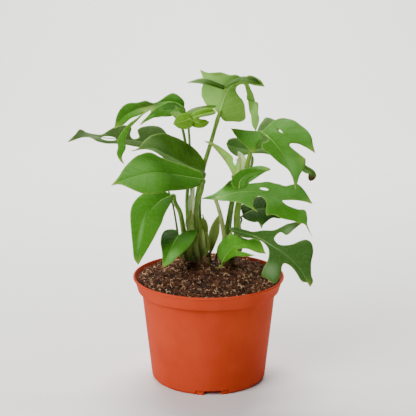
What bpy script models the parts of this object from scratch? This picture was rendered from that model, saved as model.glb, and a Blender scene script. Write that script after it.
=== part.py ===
"""A young split-leaf philodendron in a plastic nursery pot.

Units are metres with +Z up. The origin is the centre of the pot's flat foot.
Leaf and stem drawings are in millimetres and are placed by place().
"""

import math

import bmesh
import bpy
import numpy as np
from mathutils import Vector
from mathutils.geometry import delaunay_2d_cdt

MM = 0.001
GAP = 0.3 * MM  # clearance between touching pieces
CUT_MARGIN = 3 * MM  # how far a cutter starts outside what it cuts

# Pot
RIM_RADIUS = 76.2 * MM
POT_HEIGHT = 107 * MM
FOOT_RADIUS = 57.8 * MM
WALL = 1.6 * MM
FLOOR = 2.0 * MM
FOOT_CORNER = 4.0 * MM
LIP_HEIGHT = 2.6 * MM
LIP_OVERHANG = 1.6 * MM  # how far the lip stands out from the collar
COLLAR_HEIGHT = 14.4 * MM
COLLAR_STEP = 3.6 * MM  # how far the collar stands out from the wall
COLLAR_TAPER = 3.4 * MM  # how much the collar narrows from lip to ledge
WALL_TOP_RADIUS = RIM_RADIUS - LIP_OVERHANG - COLLAR_TAPER - COLLAR_STEP
EDGE_SOFTNESS = 0.5 * MM  # small slopes that break the pot's edges
FLOOR_CORNER = 2.4 * MM  # slope between the floor and the wall, inside
NOTCH_COUNT = 3
NOTCH_WIDTH = 17 * MM
NOTCH_HEIGHT = 5 * MM
NOTCH_DEPTH = 11 * MM
NOTCH_FLARE = 8 * MM  # wider, shallower recess on each side of a notch
NOTCH_TURN = math.radians(4)
DRAIN_RADIUS = 3.2 * MM
POT_STEPS = 48

# Soil
SOIL_DROP = 5 * MM  # soil edge below the rim
SOIL_MOUND = 8 * MM  # extra height at the middle
SOIL_EDGE_HEIGHT = POT_HEIGHT - SOIL_DROP

# Plant
PLANT_SCALE = 1.0
BLADE_THICKNESS = 0.8 * MM
STEM_RADIUS = 4.4 * MM * PLANT_SCALE
PETIOLE_RADIUS = 1.9 * MM * PLANT_SCALE
PETIOLE_TIP_RADIUS = 1.0 * MM * PLANT_SCALE
STICK_RADIUS = 0.9 * MM * PLANT_SCALE
STICK_TIP_RADIUS = 0.55 * MM * PLANT_SCALE
LEAVING_STEP = 9 * MM * PLANT_SCALE  # how soon a petiole turns to its own way, and to its blade
MESH_SPACING = 9  # distance between the inner points of a blade, in leaf millimetres
RIB_SAMPLES = 65

# The leaf and stem drawings put the middle of the crown here, in millimetres.
CROWN_DRAWN = np.array([0.0, 30.0, 108.0])

LEAF_GREEN = (0.085, 0.26, 0.045)
YOUNG_GREEN = (0.30, 0.47, 0.09)
STEM_GREEN = (0.16, 0.30, 0.06)
TERRACOTTA = (0.60, 0.13, 0.045)
PEAT = (0.035, 0.020, 0.012)
DRY_BROWN = (0.10, 0.06, 0.03)

TIP = "tip"

# Each blade: rib is the midrib from base to tip and face is the upper side's direction along
# it. left and right are the margins, as (distance along the rib, distance out from it). fold
# and curl are degrees, and degrees for each 10 mm outwards, for the left and right halves.
# holes are (along, out to the right, half length, half width). attach is where the petiole ends.
BLADES = {
    "left_main": dict(
        rib=[(-5, 0, 206), (-26, -16, 213), (-51, -33, 220), (-74, -48, 218), (-91, -58, 213)],
        face=[(0.1, -0.75, 0.75), (-0.1, -0.62, 0.8), (-0.25, -0.6, 0.75)],
        fold=(8, 6), curl=(8, 4),
        left=[(12, 11), (36, 20), (68, 28), (84, 25), (93, 16), (99, 4)],
        right=[(2, 8), (16, 12), (34, 17), (45, 21), (53, 28), (61, 27), (67, 25), (85, 14),
            (95, 6)],
    ),
    "left_upper": dict(
        rib=[(-4, 24, 208), (-18, 16, 215), (-36, 6, 227), (-55, -4, 238), (-75, -13, 237)],
        face=[(0.1, -0.4, 0.9), (0, -0.3, 0.95), (-0.2, -0.4, 0.9)],
        fold=(-14, 34), curl=(5, 3),
        left=[(13, 6), (30, 10), (51, 9), (67, 4), (76, 1)],
        right=[(1, 12), (11, 22), (29, 26), (49, 25), (61, 18), (71, 9), (79, 2)],
    ),
    "left_hanging": dict(
        rib=[(-36, 0, 190), (-48, -10, 186), (-59, -20, 175), (-65, -27, 152), (-69, -28, 126)],
        face=[(-0.3, -0.7, 0.6), (-0.3, -0.9, 0.3), (-0.2, -1, 0.05)],
        fold=(10, 14), curl=(8, 8),
        left=[(5, 7), (18, 13), (37, 17), (51, 14), (65, 9), (77, 4)],
        right=[(7, 11), (18, 17), (29, 19), (37, 18), (51, 13), (68, 8), (80, 5)],
    ),
    "left_heart": dict(
        rib=[(-30, 2, 148), (-34, -8, 144), (-40, -18, 134), (-45, -26, 123)],
        face=[(-0.1, -0.6, 0.8), (-0.15, -0.8, 0.6)],
        fold=(10, 14), curl=(10, 14),
        left=[(-6, 3), (-13, 14), (-2, 17), (11, 17), (24, 12), (35, 7)],
        right=[(-6, 4), (-5, 11), (1, 16), (16, 13), (28, 6)],
    ),
    "left_split": dict(
        rib=[(-24, 30, 273), (-33, 24, 279), (-45, 18, 280), (-57, 12, 277), (-71, 7, 274),
            (-82, 2, 268), (-92, -2, 257)],
        face=[(0.1, -0.5, 0.85), (-0.05, -0.6, 0.8), (-0.2, -0.7, 0.7)],
        fold=(8, 20), curl=(8, 9),
        left=[(11, 14), (28, 20), (39, 18), (45, 16), (63, 19, TIP), (50, 15), (44, 11),
            (42, 6, TIP), (62, 14), (76, 15), (86, 19), (92, 25), (101, 28), (105, 35, TIP),
            (105, 29), (102, 22), (96, 18), (90, 12), (76, 10), (61, 11), (46, 6, TIP),
            (57, 9), (66, 7), (75, 6)],
        right=[(1, 7), (8, 10), (13, 11), (19, 8), (27, 3), (35, 2), (42, 7), (51, 7),
            (58, 10), (66, 9), (75, 5)],
    ),
    "left_young": dict(
        rib=[(-22, 6, 272), (-21, -5, 273), (-20, -16, 270), (-19, -24, 263)],
        face=[(0, -0.15, 1), (0, -0.3, 1), (0, -0.5, 0.9)],
        fold=(26, 12), curl=(10, 14),
        left=[(-2, 7), (0, 17), (5, 26), (11, 30), (17, 26), (23, 18), (29, 9)],
        right=[(-3, 6), (0, 13), (10, 16), (21, 13), (30, 7)],
    ),
    "left_far": dict(
        rib=[(-44, 40, 229), (-60, 42, 234), (-80, 44, 237), (-103, 46, 239), (-123, 48, 241),
            (-145, 50, 234)],
        face=[(0, -0.6, 0.8), (0, -0.6, 0.8), (0, -0.7, 0.7)],
        fold=(5, 15), curl=(6, 8),
        left=[(15, 6), (30, 8), (44, 7), (59, 8), (70, 7), (78, 3), (92, 0)],
        right=[(-2, 10), (10, 22), (18, 23), (27, 19), (32, 13), (29, 5), (34, 2), (38, 6),
            (39, 16), (50, 17), (60, 10), (67, 3), (75, 2), (82, 4), (88, 9), (94, 5)],
        holes=[(59, -1, 8.1, 2.9)],
    ),
    "top": dict(
        rib=[(10, 30, 266), (14, 28, 277), (18, 25, 289), (25, 22, 298), (34, 18, 304)],
        face=[(-0.1, 0.9, 0.3), (-0.1, 0.85, 0.4), (-0.1, 0.85, 0.5)],
        fold=(-6, -12), curl=(-5, -6),
        left=[(-5, 8), (-3, 17), (-1, 25), (4, 28), (12, 24), (24, 16), (32, 7), (38, 5),
            (44, 8), (36, 19), (16, 26), (7, 33), (-2, 38), (-8, 45, TIP), (5, 44), (14, 38),
            (40, 29), (46, 16), (48, 10), (52, 16), (58, 23, TIP), (60, 13), (56, 2)],
        right=[(5, 8), (7, 17), (15, 23), (22, 26), (25, 28), (23, 41, TIP), (27, 32),
            (28, 31), (31, 38, TIP), (32, 30), (35, 25), (38, 21), (41, 12), (46, 8)],
    ),
    "right_upper": dict(
        rib=[(53, 20, 250), (61, 12, 245), (71, 2, 234), (80, -9, 218), (85, -19, 200)],
        face=[(0.1, -0.6, 0.8), (0.15, -0.75, 0.65), (0.2, -0.9, 0.4)],
        fold=(8, 8), curl=(7, 6),
        left=[(-1, 7), (-3, 14), (-4, 23), (-3, 34), (4, 39), (12, 41), (19, 42), (28, 40),
            (35, 36), (44, 32, TIP), (36, 25), (31, 20), (28, 14), (30, 11), (38, 14),
            (47, 19, TIP), (53, 15), (60, 7)],
        right=[(-11, 11), (-23, 21, TIP), (-9, 25), (10, 27), (20, 26, TIP), (13, 16), (9, 8),
            (5, 2), (8, 0), (14, 4), (14, 11), (18, 15), (29, 13), (41, 9), (51, 3), (58, 1),
            (65, 0)],
        holes=[(9, -14, 5.3, 1.2)],
    ),
    "right_middle": dict(
        rib=[(-7, 2, 186), (7, 0, 187), (25, -4, 193), (43, -7, 195), (62, -10, 193),
            (84, -13, 190), (102, -15, 185)],
        face=[(-0.2, -0.6, 0.8), (0, -0.6, 0.8), (0, -0.55, 0.85), (0.2, -0.55, 0.8)],
        fold=(8, 6), curl=(5, 8), attach=16,
        left=[(7, 3), (15, 6), (23, 10), (30, 16), (37, 18), (44, 28), (50, 34), (57, 37),
            (65, 34, TIP), (58, 24), (52, 15), (48, 10), (57, 12), (66, 15), (76, 14),
            (83, 13), (89, 17), (94, 19), (100, 14), (107, 6)],
        right=[(11, 2), (27, 9), (38, 13), (47, 18), (62, 25, TIP), (56, 19), (55, 12),
            (58, 6), (63, 6), (68, 12), (70, 26), (77, 25), (87, 28), (101, 28), (110, 28),
            (114, 32), (121, 39, TIP), (113, 28), (111, 20), (107, 12), (99, 14), (89, 12),
            (83, 7), (91, 4), (103, 1)],
        holes=[(63, -5, 4.4, 1.6)],
    ),
    "right_lower": dict(
        rib=[(20, -8, 158), (31, -12, 155), (43, -16, 153), (53, -22, 150), (63, -28, 145),
            (75, -34, 138), (88, -40, 126), (99, -44, 109)],
        face=[(-0.1, -0.6, 0.8), (0, -0.7, 0.7), (0, -0.8, 0.6), (0.2, -0.95, 0.3)],
        fold=(6, 6), curl=(5, 7), attach=25,
        left=[(6, 4), (17, 4), (24, 4), (31, 9), (39, 14), (43, 21), (46, 29), (52, 36),
            (58, 39, TIP), (56, 28), (54, 18), (47, 17), (45, 13), (46, 7), (53, 5), (59, 8),
            (63, 13), (66, 21), (69, 26), (74, 27), (80, 22), (86, 13), (94, 7), (101, 5)],
        right=[(6, 3), (13, 4), (20, 5), (29, 3), (37, 2), (46, 4), (51, 9), (54, 16),
            (55, 24), (58, 31), (69, 30), (78, 28), (77, 21), (73, 15), (70, 11), (70, 7),
            (76, 5), (84, 5), (95, 5), (100, 0)],
    ),
    "front_right": dict(
        rib=[(13, 4, 118), (19, 0, 130), (28, -4, 139), (41, -8, 141), (57, -12, 133)],
        face=[(-0.3, -0.6, 0.7), (0, -0.6, 0.8), (0.2, -0.7, 0.7)],
        fold=(5, 10), curl=(6, 10),
        left=[(3, 9), (9, 15), (14, 17), (20, 17), (24, 17), (29, 11), (38, 6), (44, 9),
            (50, 8), (56, 3)],
        right=[(7, 5), (19, 10), (35, 16), (46, 14), (52, 9, TIP), (44, 11), (34, 10), (28, 7),
            (32, 6), (40, 6), (51, 5)],
    ),
    "right_rear": dict(
        rib=[(18, 36, 235), (32, 38, 230), (46, 39, 228), (61, 43, 229), (76, 46, 225),
            (87, 46, 216), (99, 43, 208), (106, 39, 203), (104, 35, 196)],
        face=[(0, -0.8, 0.6), (0, -0.75, 0.65), (0.1, -0.7, 0.7), (0.6, -0.5, 0.6)],
        fold=(5, 5), curl=(5, 6), attach=27,
        left=[(2, 6), (10, 10), (20, 8), (36, 17), (43, 31), (47, 40), (53, 37), (56, 33),
            (55, 17), (63, 9), (75, 6), (88, 4), (99, 5), (105, 3)],
        right=[(3, 5), (9, 9), (16, 10), (25, 5), (34, 5), (45, 8), (58, 9), (72, 7),
            (88, 6), (97, 6), (106, 4)],
    ),
    "rear_right": dict(
        rib=[(35, 30, 162), (47, 36, 166), (62, 42, 166), (81, 46, 163)],
        face=[(0, -0.5, 0.85), (0.1, -0.6, 0.8)],
        fold=(6, 6), curl=(8, 10),
        left=[(4, 9), (12, 14), (22, 17), (29, 16), (38, 12), (46, 9)],
        right=[(-2, 4), (0, 10), (4, 15), (8, 17), (6, 25, TIP), (18, 20), (33, 13), (43, 12)],
    ),
    "shoot": dict(
        rib=[(27, 18, 203), (20, 15, 217), (12, 12, 229), (3, 9, 239), (-5, 8, 243)],
        face=[(0.8, -0.6, 0.5), (0.6, -0.7, 0.6), (0.6, -0.7, 0.6)],
        fold=(20, 30), curl=(14, -30),
        left=[(13, 0), (24, 2), (35, 2)],
        right=[(8, 5), (16, 6), (20, 8), (30, 6), (38, 4)],
    ),
    "shoot_tip": dict(
        rib=[(29, 28, 202), (32, 28, 210), (33, 27, 220), (30, 26, 229)],
        face=[(-0.3, -0.9, 0.4), (0.2, -0.95, 0.2), (0.4, -0.9, 0.3)],
        fold=(25, 25), curl=(-30, -34),
        left=[(9, 6), (25, 14), (23, 6)],
        right=[(8, 3), (15, 5), (20, 5), (24, 3)],
    ),
    "crown_upright": dict(
        rib=[(2, 20, 122), (3, 17, 136), (6, 14, 152), (10, 12, 166)],
        face=[(0.3, -0.9, 0.1), (0.2, -0.9, 0.2)],
        fold=(30, 30), curl=(10, 10),
        left=[(12, 4), (26, 6), (38, 4)],
        right=[(12, 4), (26, 6), (38, 4)],
    ),
    "crown_round": dict(
        rib=[(-3, 20, 142), (-4, 17, 151), (-5, 14, 158), (-6, 10, 164)],
        face=[(0, -0.9, 0.3), (0, -0.8, 0.5)],
        fold=(10, 10), curl=(14, 14),
        left=[(4, 3), (12, 4), (20, 3)],
        right=[(4, 3), (12, 4), (20, 3)],
    ),
    "crown_front": dict(
        rib=[(-6, 16, 118), (-7, 13, 130), (-7, 11, 142), (-6, 11, 152)],
        face=[(-0.2, -0.95, 0.2), (-0.2, -0.95, 0.2)],
        fold=(25, 25), curl=(12, 12),
        left=[(8, 4), (20, 5), (30, 3)],
        right=[(8, 4), (20, 5), (30, 3)],
    ),
    "crown_sheath": dict(
        rib=[(-17, 14, 162), (-17, 11, 175), (-16, 9, 187), (-14, 8, 197)],
        face=[(-0.4, -0.9, 0.1), (-0.3, -0.95, 0.1)],
        fold=(20, 25), curl=(10, 10),
        left=[(8, 3), (20, 4), (30, 2)],
        right=[(8, 3), (20, 4), (30, 2)],
    ),
}

# Each petiole: the stem that it leaves, at what height and in what direction round it, the
# points that it passes, and its thickness as a share of the usual one.
PETIOLES = {
    "left_main": dict(
        stem="stem_left", height=22, direction=285, girth=1.25,
        via=[(-12, 12, 175), (-7, 8, 192)],
    ),
    "left_upper": dict(
        stem="stem_left", height=14, direction=0, girth=0.9,
        via=[(-9, 22, 174), (-6, 20, 196)],
    ),
    "left_hanging": dict(
        stem="stem_rear", height=12, direction=285, girth=0.95,
        via=[(-28, 14, 166), (-33, 9, 179)],
    ),
    "left_heart": dict(
        stem="stem_rear", height=4, direction=250, girth=0.7,
        via=[(-26, 12, 138)],
    ),
    "left_split": dict(
        stem="stem_rear", height=20, direction=20, girth=0.85,
        via=[(-22, 32, 176), (-20, 38, 206), (-23, 40, 232), (-27, 37, 256)],
    ),
    "left_young": dict(
        stem="stem_left", height=24, direction=100, girth=0.7,
        via=[(-17, 30, 177), (-18, 37, 206), (-19, 37, 232), (-20, 24, 255)],
    ),
    "left_far": dict(
        stem="stem_rear", height=8, direction=200, girth=0.6,
        via=[(-36, 34, 169), (-44, 40, 195), (-47, 44, 215)],
    ),
    "top": dict(
        stem="stem_left", height=16, direction=55, girth=1.1,
        via=[(-12, 36, 170), (-6, 38, 206), (1, 36, 231)],
    ),
    "right_upper": dict(
        stem="stem_right", height=18, direction=340, girth=1.25,
        via=[(29, 20, 166), (34, 22, 191), (39, 24, 214), (43, 25, 231)],
    ),
    "right_middle": dict(
        stem="stem_right", height=12, direction=225, girth=0.9,
        via=[(13, 8, 163)],
    ),
    "right_lower": dict(
        stem="stem_right", height=8, direction=300, girth=0.9,
        via=[(31, 10, 146), (35, -2, 150)],
    ),
    "right_rear": dict(
        stem="stem_right", height=14, direction=60, girth=0.8,
        via=[(32, 39, 168), (40, 39, 198), (45, 41, 216)],
    ),
    "rear_right": dict(
        stem="stem_right", height=8, direction=20, girth=0.7,
        via=[(32, 28, 150), (34, 30, 156)],
    ),
    "shoot": dict(
        stem="stem_right", height=22, direction=180, girth=1,
        via=[(22, 19, 171), (25, 20, 189)],
    ),
    "shoot_tip": dict(
        stem="stem_right", height=24, direction=120, girth=0.8,
        via=[(25, 31, 171), (28, 30, 189)],
    ),
    "front_right": dict(
        stem=None, height=0, direction=0, girth=0.8,
        via=[(7, 5, 105), (10, 4, 112)],
    ),
    "crown_upright": dict(
        stem=None, height=0, direction=0, girth=0.7,
        via=[(3, 26, 96), (2, 24, 108)],
    ),
    "crown_round": dict(
        stem="stem_left", height=12, direction=330, girth=0.6,
        via=[],
    ),
    "crown_front": dict(
        stem=None, height=0, direction=0, girth=0.7,
        via=[(-4, 22, 96), (-5, 20, 107)],
    ),
    "crown_sheath": dict(
        stem="stem_left", height=22, direction=235, girth=0.6,
        via=[],
    ),
}

STEMS = {
    "stem_left": dict(
        path=[(-12, 30, 95), (-12, 30, 108), (-13, 29, 124), (-15, 27, 142)], girth=1.0
    ),
    "stem_rear": dict(
        path=[(-22, 33, 95), (-23, 33, 108), (-24, 32, 122), (-25, 30, 137)], girth=0.75
    ),
    "stem_right": dict(
        path=[(22, 30, 95), (22, 30, 108), (23, 28, 121), (24, 26, 135)], girth=0.95
    ),
}

# Two dead, dry petioles that stand in the soil.
STICKS = {
    "dead_petiole_left": [(-1, 30, 96), (-1, 28, 112), (-1, 27, 140), (-3, 27, 152), (-6, 27, 163)],
    "dead_petiole_right": [(8, 20, 96), (7, 20, 108), (8, 21, 118), (10, 22, 131)],
}

YOUNG_LEAVES = ("shoot", "shoot_tip", "left_young", "crown_round", "crown_upright")


# ---------------------------------------------------------------- curves and placing


def unit(vectors):
    return vectors / np.maximum(np.linalg.norm(vectors, axis=-1, keepdims=True), 1e-12)


def smooth_curve(points, per_span):
    """A Catmull-Rom curve through the points."""
    points = [np.asarray(point, float) for point in points]
    points = [2 * points[0] - points[1]] + points + [2 * points[-1] - points[-2]]
    curve = []
    for first, second, third, fourth in zip(points, points[1:], points[2:], points[3:]):
        for step in range(per_span):
            t = step / per_span
            straight = (third - first) * t
            bend = (2 * first - 5 * second + 4 * third - fourth) * t**2
            twist = (-first + 3 * second - 3 * third + fourth) * t**3
            curve.append(second + 0.5 * (straight + bend + twist))
    curve.append(points[-2])
    return np.array(curve)


def even_points(curve, count):
    """The curve at evenly spaced points, and its length."""
    steps = np.linalg.norm(np.diff(curve, axis=0), axis=1)
    reached = np.concatenate([[0], np.cumsum(steps)])
    wanted = np.linspace(0, reached[-1], count)
    columns = [np.interp(wanted, reached, curve[:, k]) for k in range(curve.shape[1])]
    return np.stack(columns, 1), reached[-1]


def inner_radius(height):
    """The pot's inner radius at a height below the collar."""
    share = height / (POT_HEIGHT - COLLAR_HEIGHT)
    return FOOT_RADIUS + (WALL_TOP_RADIUS - FOOT_RADIUS) * share - WALL


def soil_height(radius):
    """The soil's surface: highest at the middle, level at the wall."""
    share = min(1.0, radius / (RIM_RADIUS - 5 * MM))
    return SOIL_EDGE_HEIGHT + SOIL_MOUND * 0.5 * (1 + math.cos(math.pi * share))


def place(points):
    """Drawn millimetres to metres: scaled about the crown, which stands on the soil."""
    crown = np.array([0, CROWN_DRAWN[1] * MM, soil_height(CROWN_DRAWN[1] * MM)])
    return crown + (np.asarray(points, float) - CROWN_DRAWN) * MM * PLANT_SCALE


# ---------------------------------------------------------------- objects


def clear_scene():
    for item in list(bpy.data.objects):
        bpy.data.objects.remove(item, do_unlink=True)


def new_collection(name):
    collection = bpy.data.collections.new(name)
    bpy.context.scene.collection.children.link(collection)
    return collection


def material(name, colour, roughness):
    made = bpy.data.materials.get(name)
    if made is None:
        made = bpy.data.materials.new(name)
        made.use_nodes = True
        shader = made.node_tree.nodes["Principled BSDF"]
        shader.inputs["Base Color"].default_value = (*colour, 1)
        shader.inputs["Roughness"].default_value = roughness
        shader.inputs["Metallic"].default_value = 0.0
    return made


def add_object(name, mesh, finish, collection):
    made = bpy.data.objects.new(name, mesh)
    mesh.materials.clear()
    mesh.materials.append(finish)
    collection.objects.link(made)
    return made


def apply_modifiers(item):
    """Swaps the object's mesh for its evaluated one."""
    bpy.context.view_layer.update()
    evaluated = item.evaluated_get(bpy.context.evaluated_depsgraph_get())
    mesh = bpy.data.meshes.new_from_object(evaluated)
    item.modifiers.clear()
    item.data = mesh


def boolean(item, other, operation):
    cut = item.modifiers.new(operation.lower(), "BOOLEAN")
    cut.operation = operation
    cut.object = other
    cut.solver = "EXACT"
    cut.use_self = False
    apply_modifiers(item)
    bpy.data.objects.remove(other, do_unlink=True)


def turned(name, profile, finish, collection, steps=POT_STEPS):
    """A closed profile of (radius, height) points, turned about +Z."""
    mesh = bpy.data.meshes.new(name)
    points = [(radius, 0, height) for radius, height in profile]
    on_axis = [radius < 1e-9 for radius, _ in profile]
    edges = [(k, k + 1) for k in range(len(points) - 1)]
    if not (on_axis[0] and on_axis[-1]):
        edges.append((len(points) - 1, 0))
    mesh.from_pydata(points, edges, [])
    made = add_object(name, mesh, finish, collection)
    screw = made.modifiers.new("turn", "SCREW")
    screw.steps = steps
    screw.render_steps = steps
    screw.use_merge_vertices = True
    screw.merge_threshold = 0.00001
    apply_modifiers(made)
    made.data.set_sharp_from_angle(angle=math.radians(35))
    return made


def tube(name, points, radii, finish, collection, resolution=2):
    """A tapered tube with welded end caps, as a mesh. Points and radii are in metres."""
    curve = bpy.data.curves.new(name, "CURVE")
    curve.dimensions = "3D"
    curve.bevel_depth = 1.0
    curve.bevel_resolution = resolution
    curve.use_fill_caps = True
    spline = curve.splines.new("POLY")
    spline.points.add(len(points) - 1)
    for slot, point, radius in zip(spline.points, points, radii):
        slot.co = (*point, 1)
        slot.radius = radius
    source = bpy.data.objects.new(name + "_curve", curve)
    collection.objects.link(source)
    bpy.context.view_layer.update()
    evaluated = source.evaluated_get(bpy.context.evaluated_depsgraph_get())
    mesh = bpy.data.meshes.new_from_object(evaluated)
    bpy.data.objects.remove(source, do_unlink=True)
    work = bmesh.new()
    work.from_mesh(mesh)
    bmesh.ops.remove_doubles(work, verts=work.verts, dist=0.00001)
    bmesh.ops.recalc_face_normals(work, faces=work.faces)
    work.to_mesh(mesh)
    work.free()
    return add_object(name, mesh, finish, collection)


def box(name, size, centre, turn, finish, collection):
    mesh = bpy.data.meshes.new(name)
    work = bmesh.new()
    bmesh.ops.create_cube(work, size=1)
    bmesh.ops.scale(work, vec=size, verts=work.verts)
    bmesh.ops.translate(work, vec=centre, verts=work.verts)
    work.to_mesh(mesh)
    work.free()
    made = add_object(name, mesh, finish, collection)
    made.rotation_euler.z = turn
    return made


def cylinder(name, radius, height, centre, turn, finish, collection):
    mesh = bpy.data.meshes.new(name)
    work = bmesh.new()
    bmesh.ops.create_cone(
        work, cap_ends=True, segments=16, radius1=radius, radius2=radius, depth=height
    )
    bmesh.ops.translate(work, vec=centre, verts=work.verts)
    work.to_mesh(mesh)
    work.free()
    made = add_object(name, mesh, finish, collection)
    made.rotation_euler.z = turn
    return made


# ---------------------------------------------------------------- pot and soil


def quarter(centre, radius, start, end, count=4):
    """Points on an arc, in degrees anticlockwise from +X."""
    angles = np.radians(np.linspace(start, end, count))
    return [(centre[0] + radius * math.cos(a), centre[1] + radius * math.sin(a)) for a in angles]


def pot_profile():
    """The outside from the lip down to the axis, then the inside back up."""
    lip = LIP_HEIGHT / 2
    soft = EDGE_SOFTNESS
    collar_top = RIM_RADIUS - LIP_OVERHANG
    collar_foot = collar_top - COLLAR_TAPER
    ledge = POT_HEIGHT - COLLAR_HEIGHT
    lean = math.atan2(WALL_TOP_RADIUS - FOOT_RADIUS, ledge)
    corner = (FOOT_RADIUS - FOOT_CORNER + FOOT_CORNER * math.tan(lean / 2), FOOT_CORNER)
    outside = quarter((RIM_RADIUS - lip, POT_HEIGHT - lip), lip, 90, -90, 6)
    outside.append((collar_top, POT_HEIGHT - LIP_HEIGHT - soft))
    outside.append((collar_foot + soft, ledge + soft))
    outside.append((collar_foot - soft, ledge))
    outside.append((WALL_TOP_RADIUS, ledge - soft))
    outside += quarter(corner, FOOT_CORNER, -4, -90, 5)
    outside.append((0, 0))
    inside = [(0, FLOOR)]
    inside.append((inner_radius(FLOOR + FOOT_CORNER) - FLOOR_CORNER, FLOOR))
    inside.append((inner_radius(FLOOR + FOOT_CORNER), FLOOR + FOOT_CORNER))
    inside.append((inner_radius(ledge), ledge))
    inside.append((RIM_RADIUS - LIP_HEIGHT, POT_HEIGHT - soft))
    inside.append((RIM_RADIUS - LIP_HEIGHT + soft, POT_HEIGHT))
    return outside + inside


def notch_blocks(clearance, collection, finish):
    """The raised floor over each drain notch."""
    blocks = []
    for index in range(NOTCH_COUNT):
        turn = NOTCH_TURN + math.tau * index / NOTCH_COUNT
        size = (
            NOTCH_WIDTH + 2 * FLOOR + 2 * clearance,
            NOTCH_DEPTH + FLOOR + clearance,
            NOTCH_HEIGHT + FLOOR + clearance - FLOOR / 2,
        )
        outer = FOOT_RADIUS - WALL / 2
        centre = (0, -(outer - size[1] / 2), FLOOR / 2 + size[2] / 2)
        blocks.append(box("notch_block", size, centre, turn, finish, collection))
    return blocks


def make_pot(collection, cutters):
    finish = material("pot_plastic", TERRACOTTA, 0.42)
    pot = turned("pot", pot_profile(), finish, collection)
    for block in notch_blocks(0, cutters, finish):
        boolean(pot, block, "UNION")
    for index in range(NOTCH_COUNT):
        turn = NOTCH_TURN + math.tau * index / NOTCH_COUNT
        outer = FOOT_RADIUS + CUT_MARGIN
        height = 2 * NOTCH_HEIGHT
        depth = NOTCH_DEPTH + CUT_MARGIN
        size = (NOTCH_WIDTH, depth, height)
        notch = box("notch", size, (0, -(outer - depth / 2), 0), turn, finish, cutters)
        boolean(pot, notch, "DIFFERENCE")
        depth = CUT_MARGIN + WALL / 2
        size = (NOTCH_WIDTH + 2 * NOTCH_FLARE, depth, height)
        flare = box("flare", size, (0, -(outer - depth / 2), 0), turn, finish, cutters)
        boolean(pot, flare, "DIFFERENCE")
        centre = (0, -(FOOT_RADIUS - NOTCH_DEPTH / 2), NOTCH_HEIGHT)
        drain = cylinder("drain", DRAIN_RADIUS, 4 * FLOOR, centre, turn, finish, cutters)
        boolean(pot, drain, "DIFFERENCE")
    return pot


def soil_profile():
    ledge = POT_HEIGHT - COLLAR_HEIGHT
    share = (SOIL_EDGE_HEIGHT - ledge) / (POT_HEIGHT - EDGE_SOFTNESS - ledge)
    flare = RIM_RADIUS - LIP_HEIGHT - inner_radius(ledge)
    edge = inner_radius(ledge) + flare * share - GAP
    profile = [(0, soil_height(0))]
    for share in (0.25, 0.5, 0.75, 0.92):
        profile.append((edge * share, soil_height(edge * share)))
    profile.append((edge, SOIL_EDGE_HEIGHT - EDGE_SOFTNESS))
    profile.append((inner_radius(ledge) - GAP, ledge))
    profile.append((inner_radius(FLOOR + FOOT_CORNER) - GAP, FLOOR + FOOT_CORNER + GAP))
    profile.append((inner_radius(FLOOR + FOOT_CORNER) - FLOOR_CORNER - GAP, FLOOR + GAP))
    profile.append((0, FLOOR + GAP))
    return profile


def make_soil(collection, cutters, feet):
    finish = material("soil_peat", PEAT, 0.95)
    soil = turned("soil", soil_profile(), finish, collection)
    for block in notch_blocks(GAP, cutters, finish):
        boolean(soil, block, "DIFFERENCE")
    for points, radii in feet:
        socket = tube("socket", points, radii, finish, cutters, resolution=4)
        boolean(soil, socket, "DIFFERENCE")
    return soil


# ---------------------------------------------------------------- blades


class Blade:
    """A leaf blade: a margin drawn flat, bent over its midrib."""

    def __init__(self, rib, face, left, right, fold, curl, holes=(), attach=0):
        self.rib, self.length = even_points(smooth_curve(rib, 16), RIB_SAMPLES)
        self.ahead = unit(np.gradient(self.rib, axis=0))
        self.side = unit(np.cross(self.ahead, unit(self.spread(face))))
        self.up = unit(np.cross(self.side, self.ahead))
        self.fold = np.radians(fold)
        self.curl = np.radians(curl) / 10
        self.left, self.right = left, right
        self.holes, self.attach = holes, attach

    def spread(self, rows):
        """The rows, spread evenly along the rib."""
        rows = np.array(rows, float)
        where = np.linspace(0, len(rows) - 1, RIB_SAMPLES)
        return np.stack([np.interp(where, range(len(rows)), column) for column in rows.T], 1)

    def at(self, along, out):
        """Points of the middle surface, in drawn millimetres. out is positive to the right."""
        along, out = np.asarray(along, float), np.asarray(out, float)
        sample = np.clip(along / self.length, 0, 1) * (RIB_SAMPLES - 1)
        low = np.clip(sample.astype(int), 0, RIB_SAMPLES - 2)
        part = (sample - low)[..., None]

        def between(rows):
            return rows[low] * (1 - part) + rows[low + 1] * part

        past = np.minimum(along, 0) + np.maximum(along - self.length, 0)
        on_rib = between(self.rib) + unit(between(self.ahead)) * past[..., None]
        right = out >= 0
        reach = np.abs(out)
        fold = np.where(right, self.fold[1], self.fold[0])
        curl = np.where(right, self.curl[1], self.curl[0])
        sideways = (np.sin(fold) - np.sin(fold - curl * reach)) / curl
        upwards = (np.cos(fold - curl * reach) - np.cos(fold)) / curl
        sideways = np.where(right, sideways, -sideways)[..., None]
        side, up = unit(between(self.side)), unit(between(self.up))
        return on_rib + side * sideways + up * upwards[..., None]

    def margin(self, points, per_span):
        """A smooth margin through the points, sharp at each tip."""
        points = [(0, 0), *points, (self.length, 0, TIP)]
        runs, run = [], []
        for point in points:
            run.append(point[:2])
            if len(point) > 2:
                runs.append(run)
                run = [point[:2]]
        margin = [np.array([0.0, 0.0])]
        for run in runs:
            margin += list(smooth_curve(run, per_span)[1:])
        margin = np.array(margin)
        margin[1:-1, 1] = np.maximum(margin[1:-1, 1], 0.5)
        return margin

    def hole_loops(self, count):
        loops = []
        for along, out, half_length, half_width in self.holes:
            angles = np.linspace(0, math.tau, count, endpoint=False)
            ring = [along + half_length * np.cos(angles), out + half_width * np.sin(angles)]
            loops.append(np.stack(ring, 1))
        return loops


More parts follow.
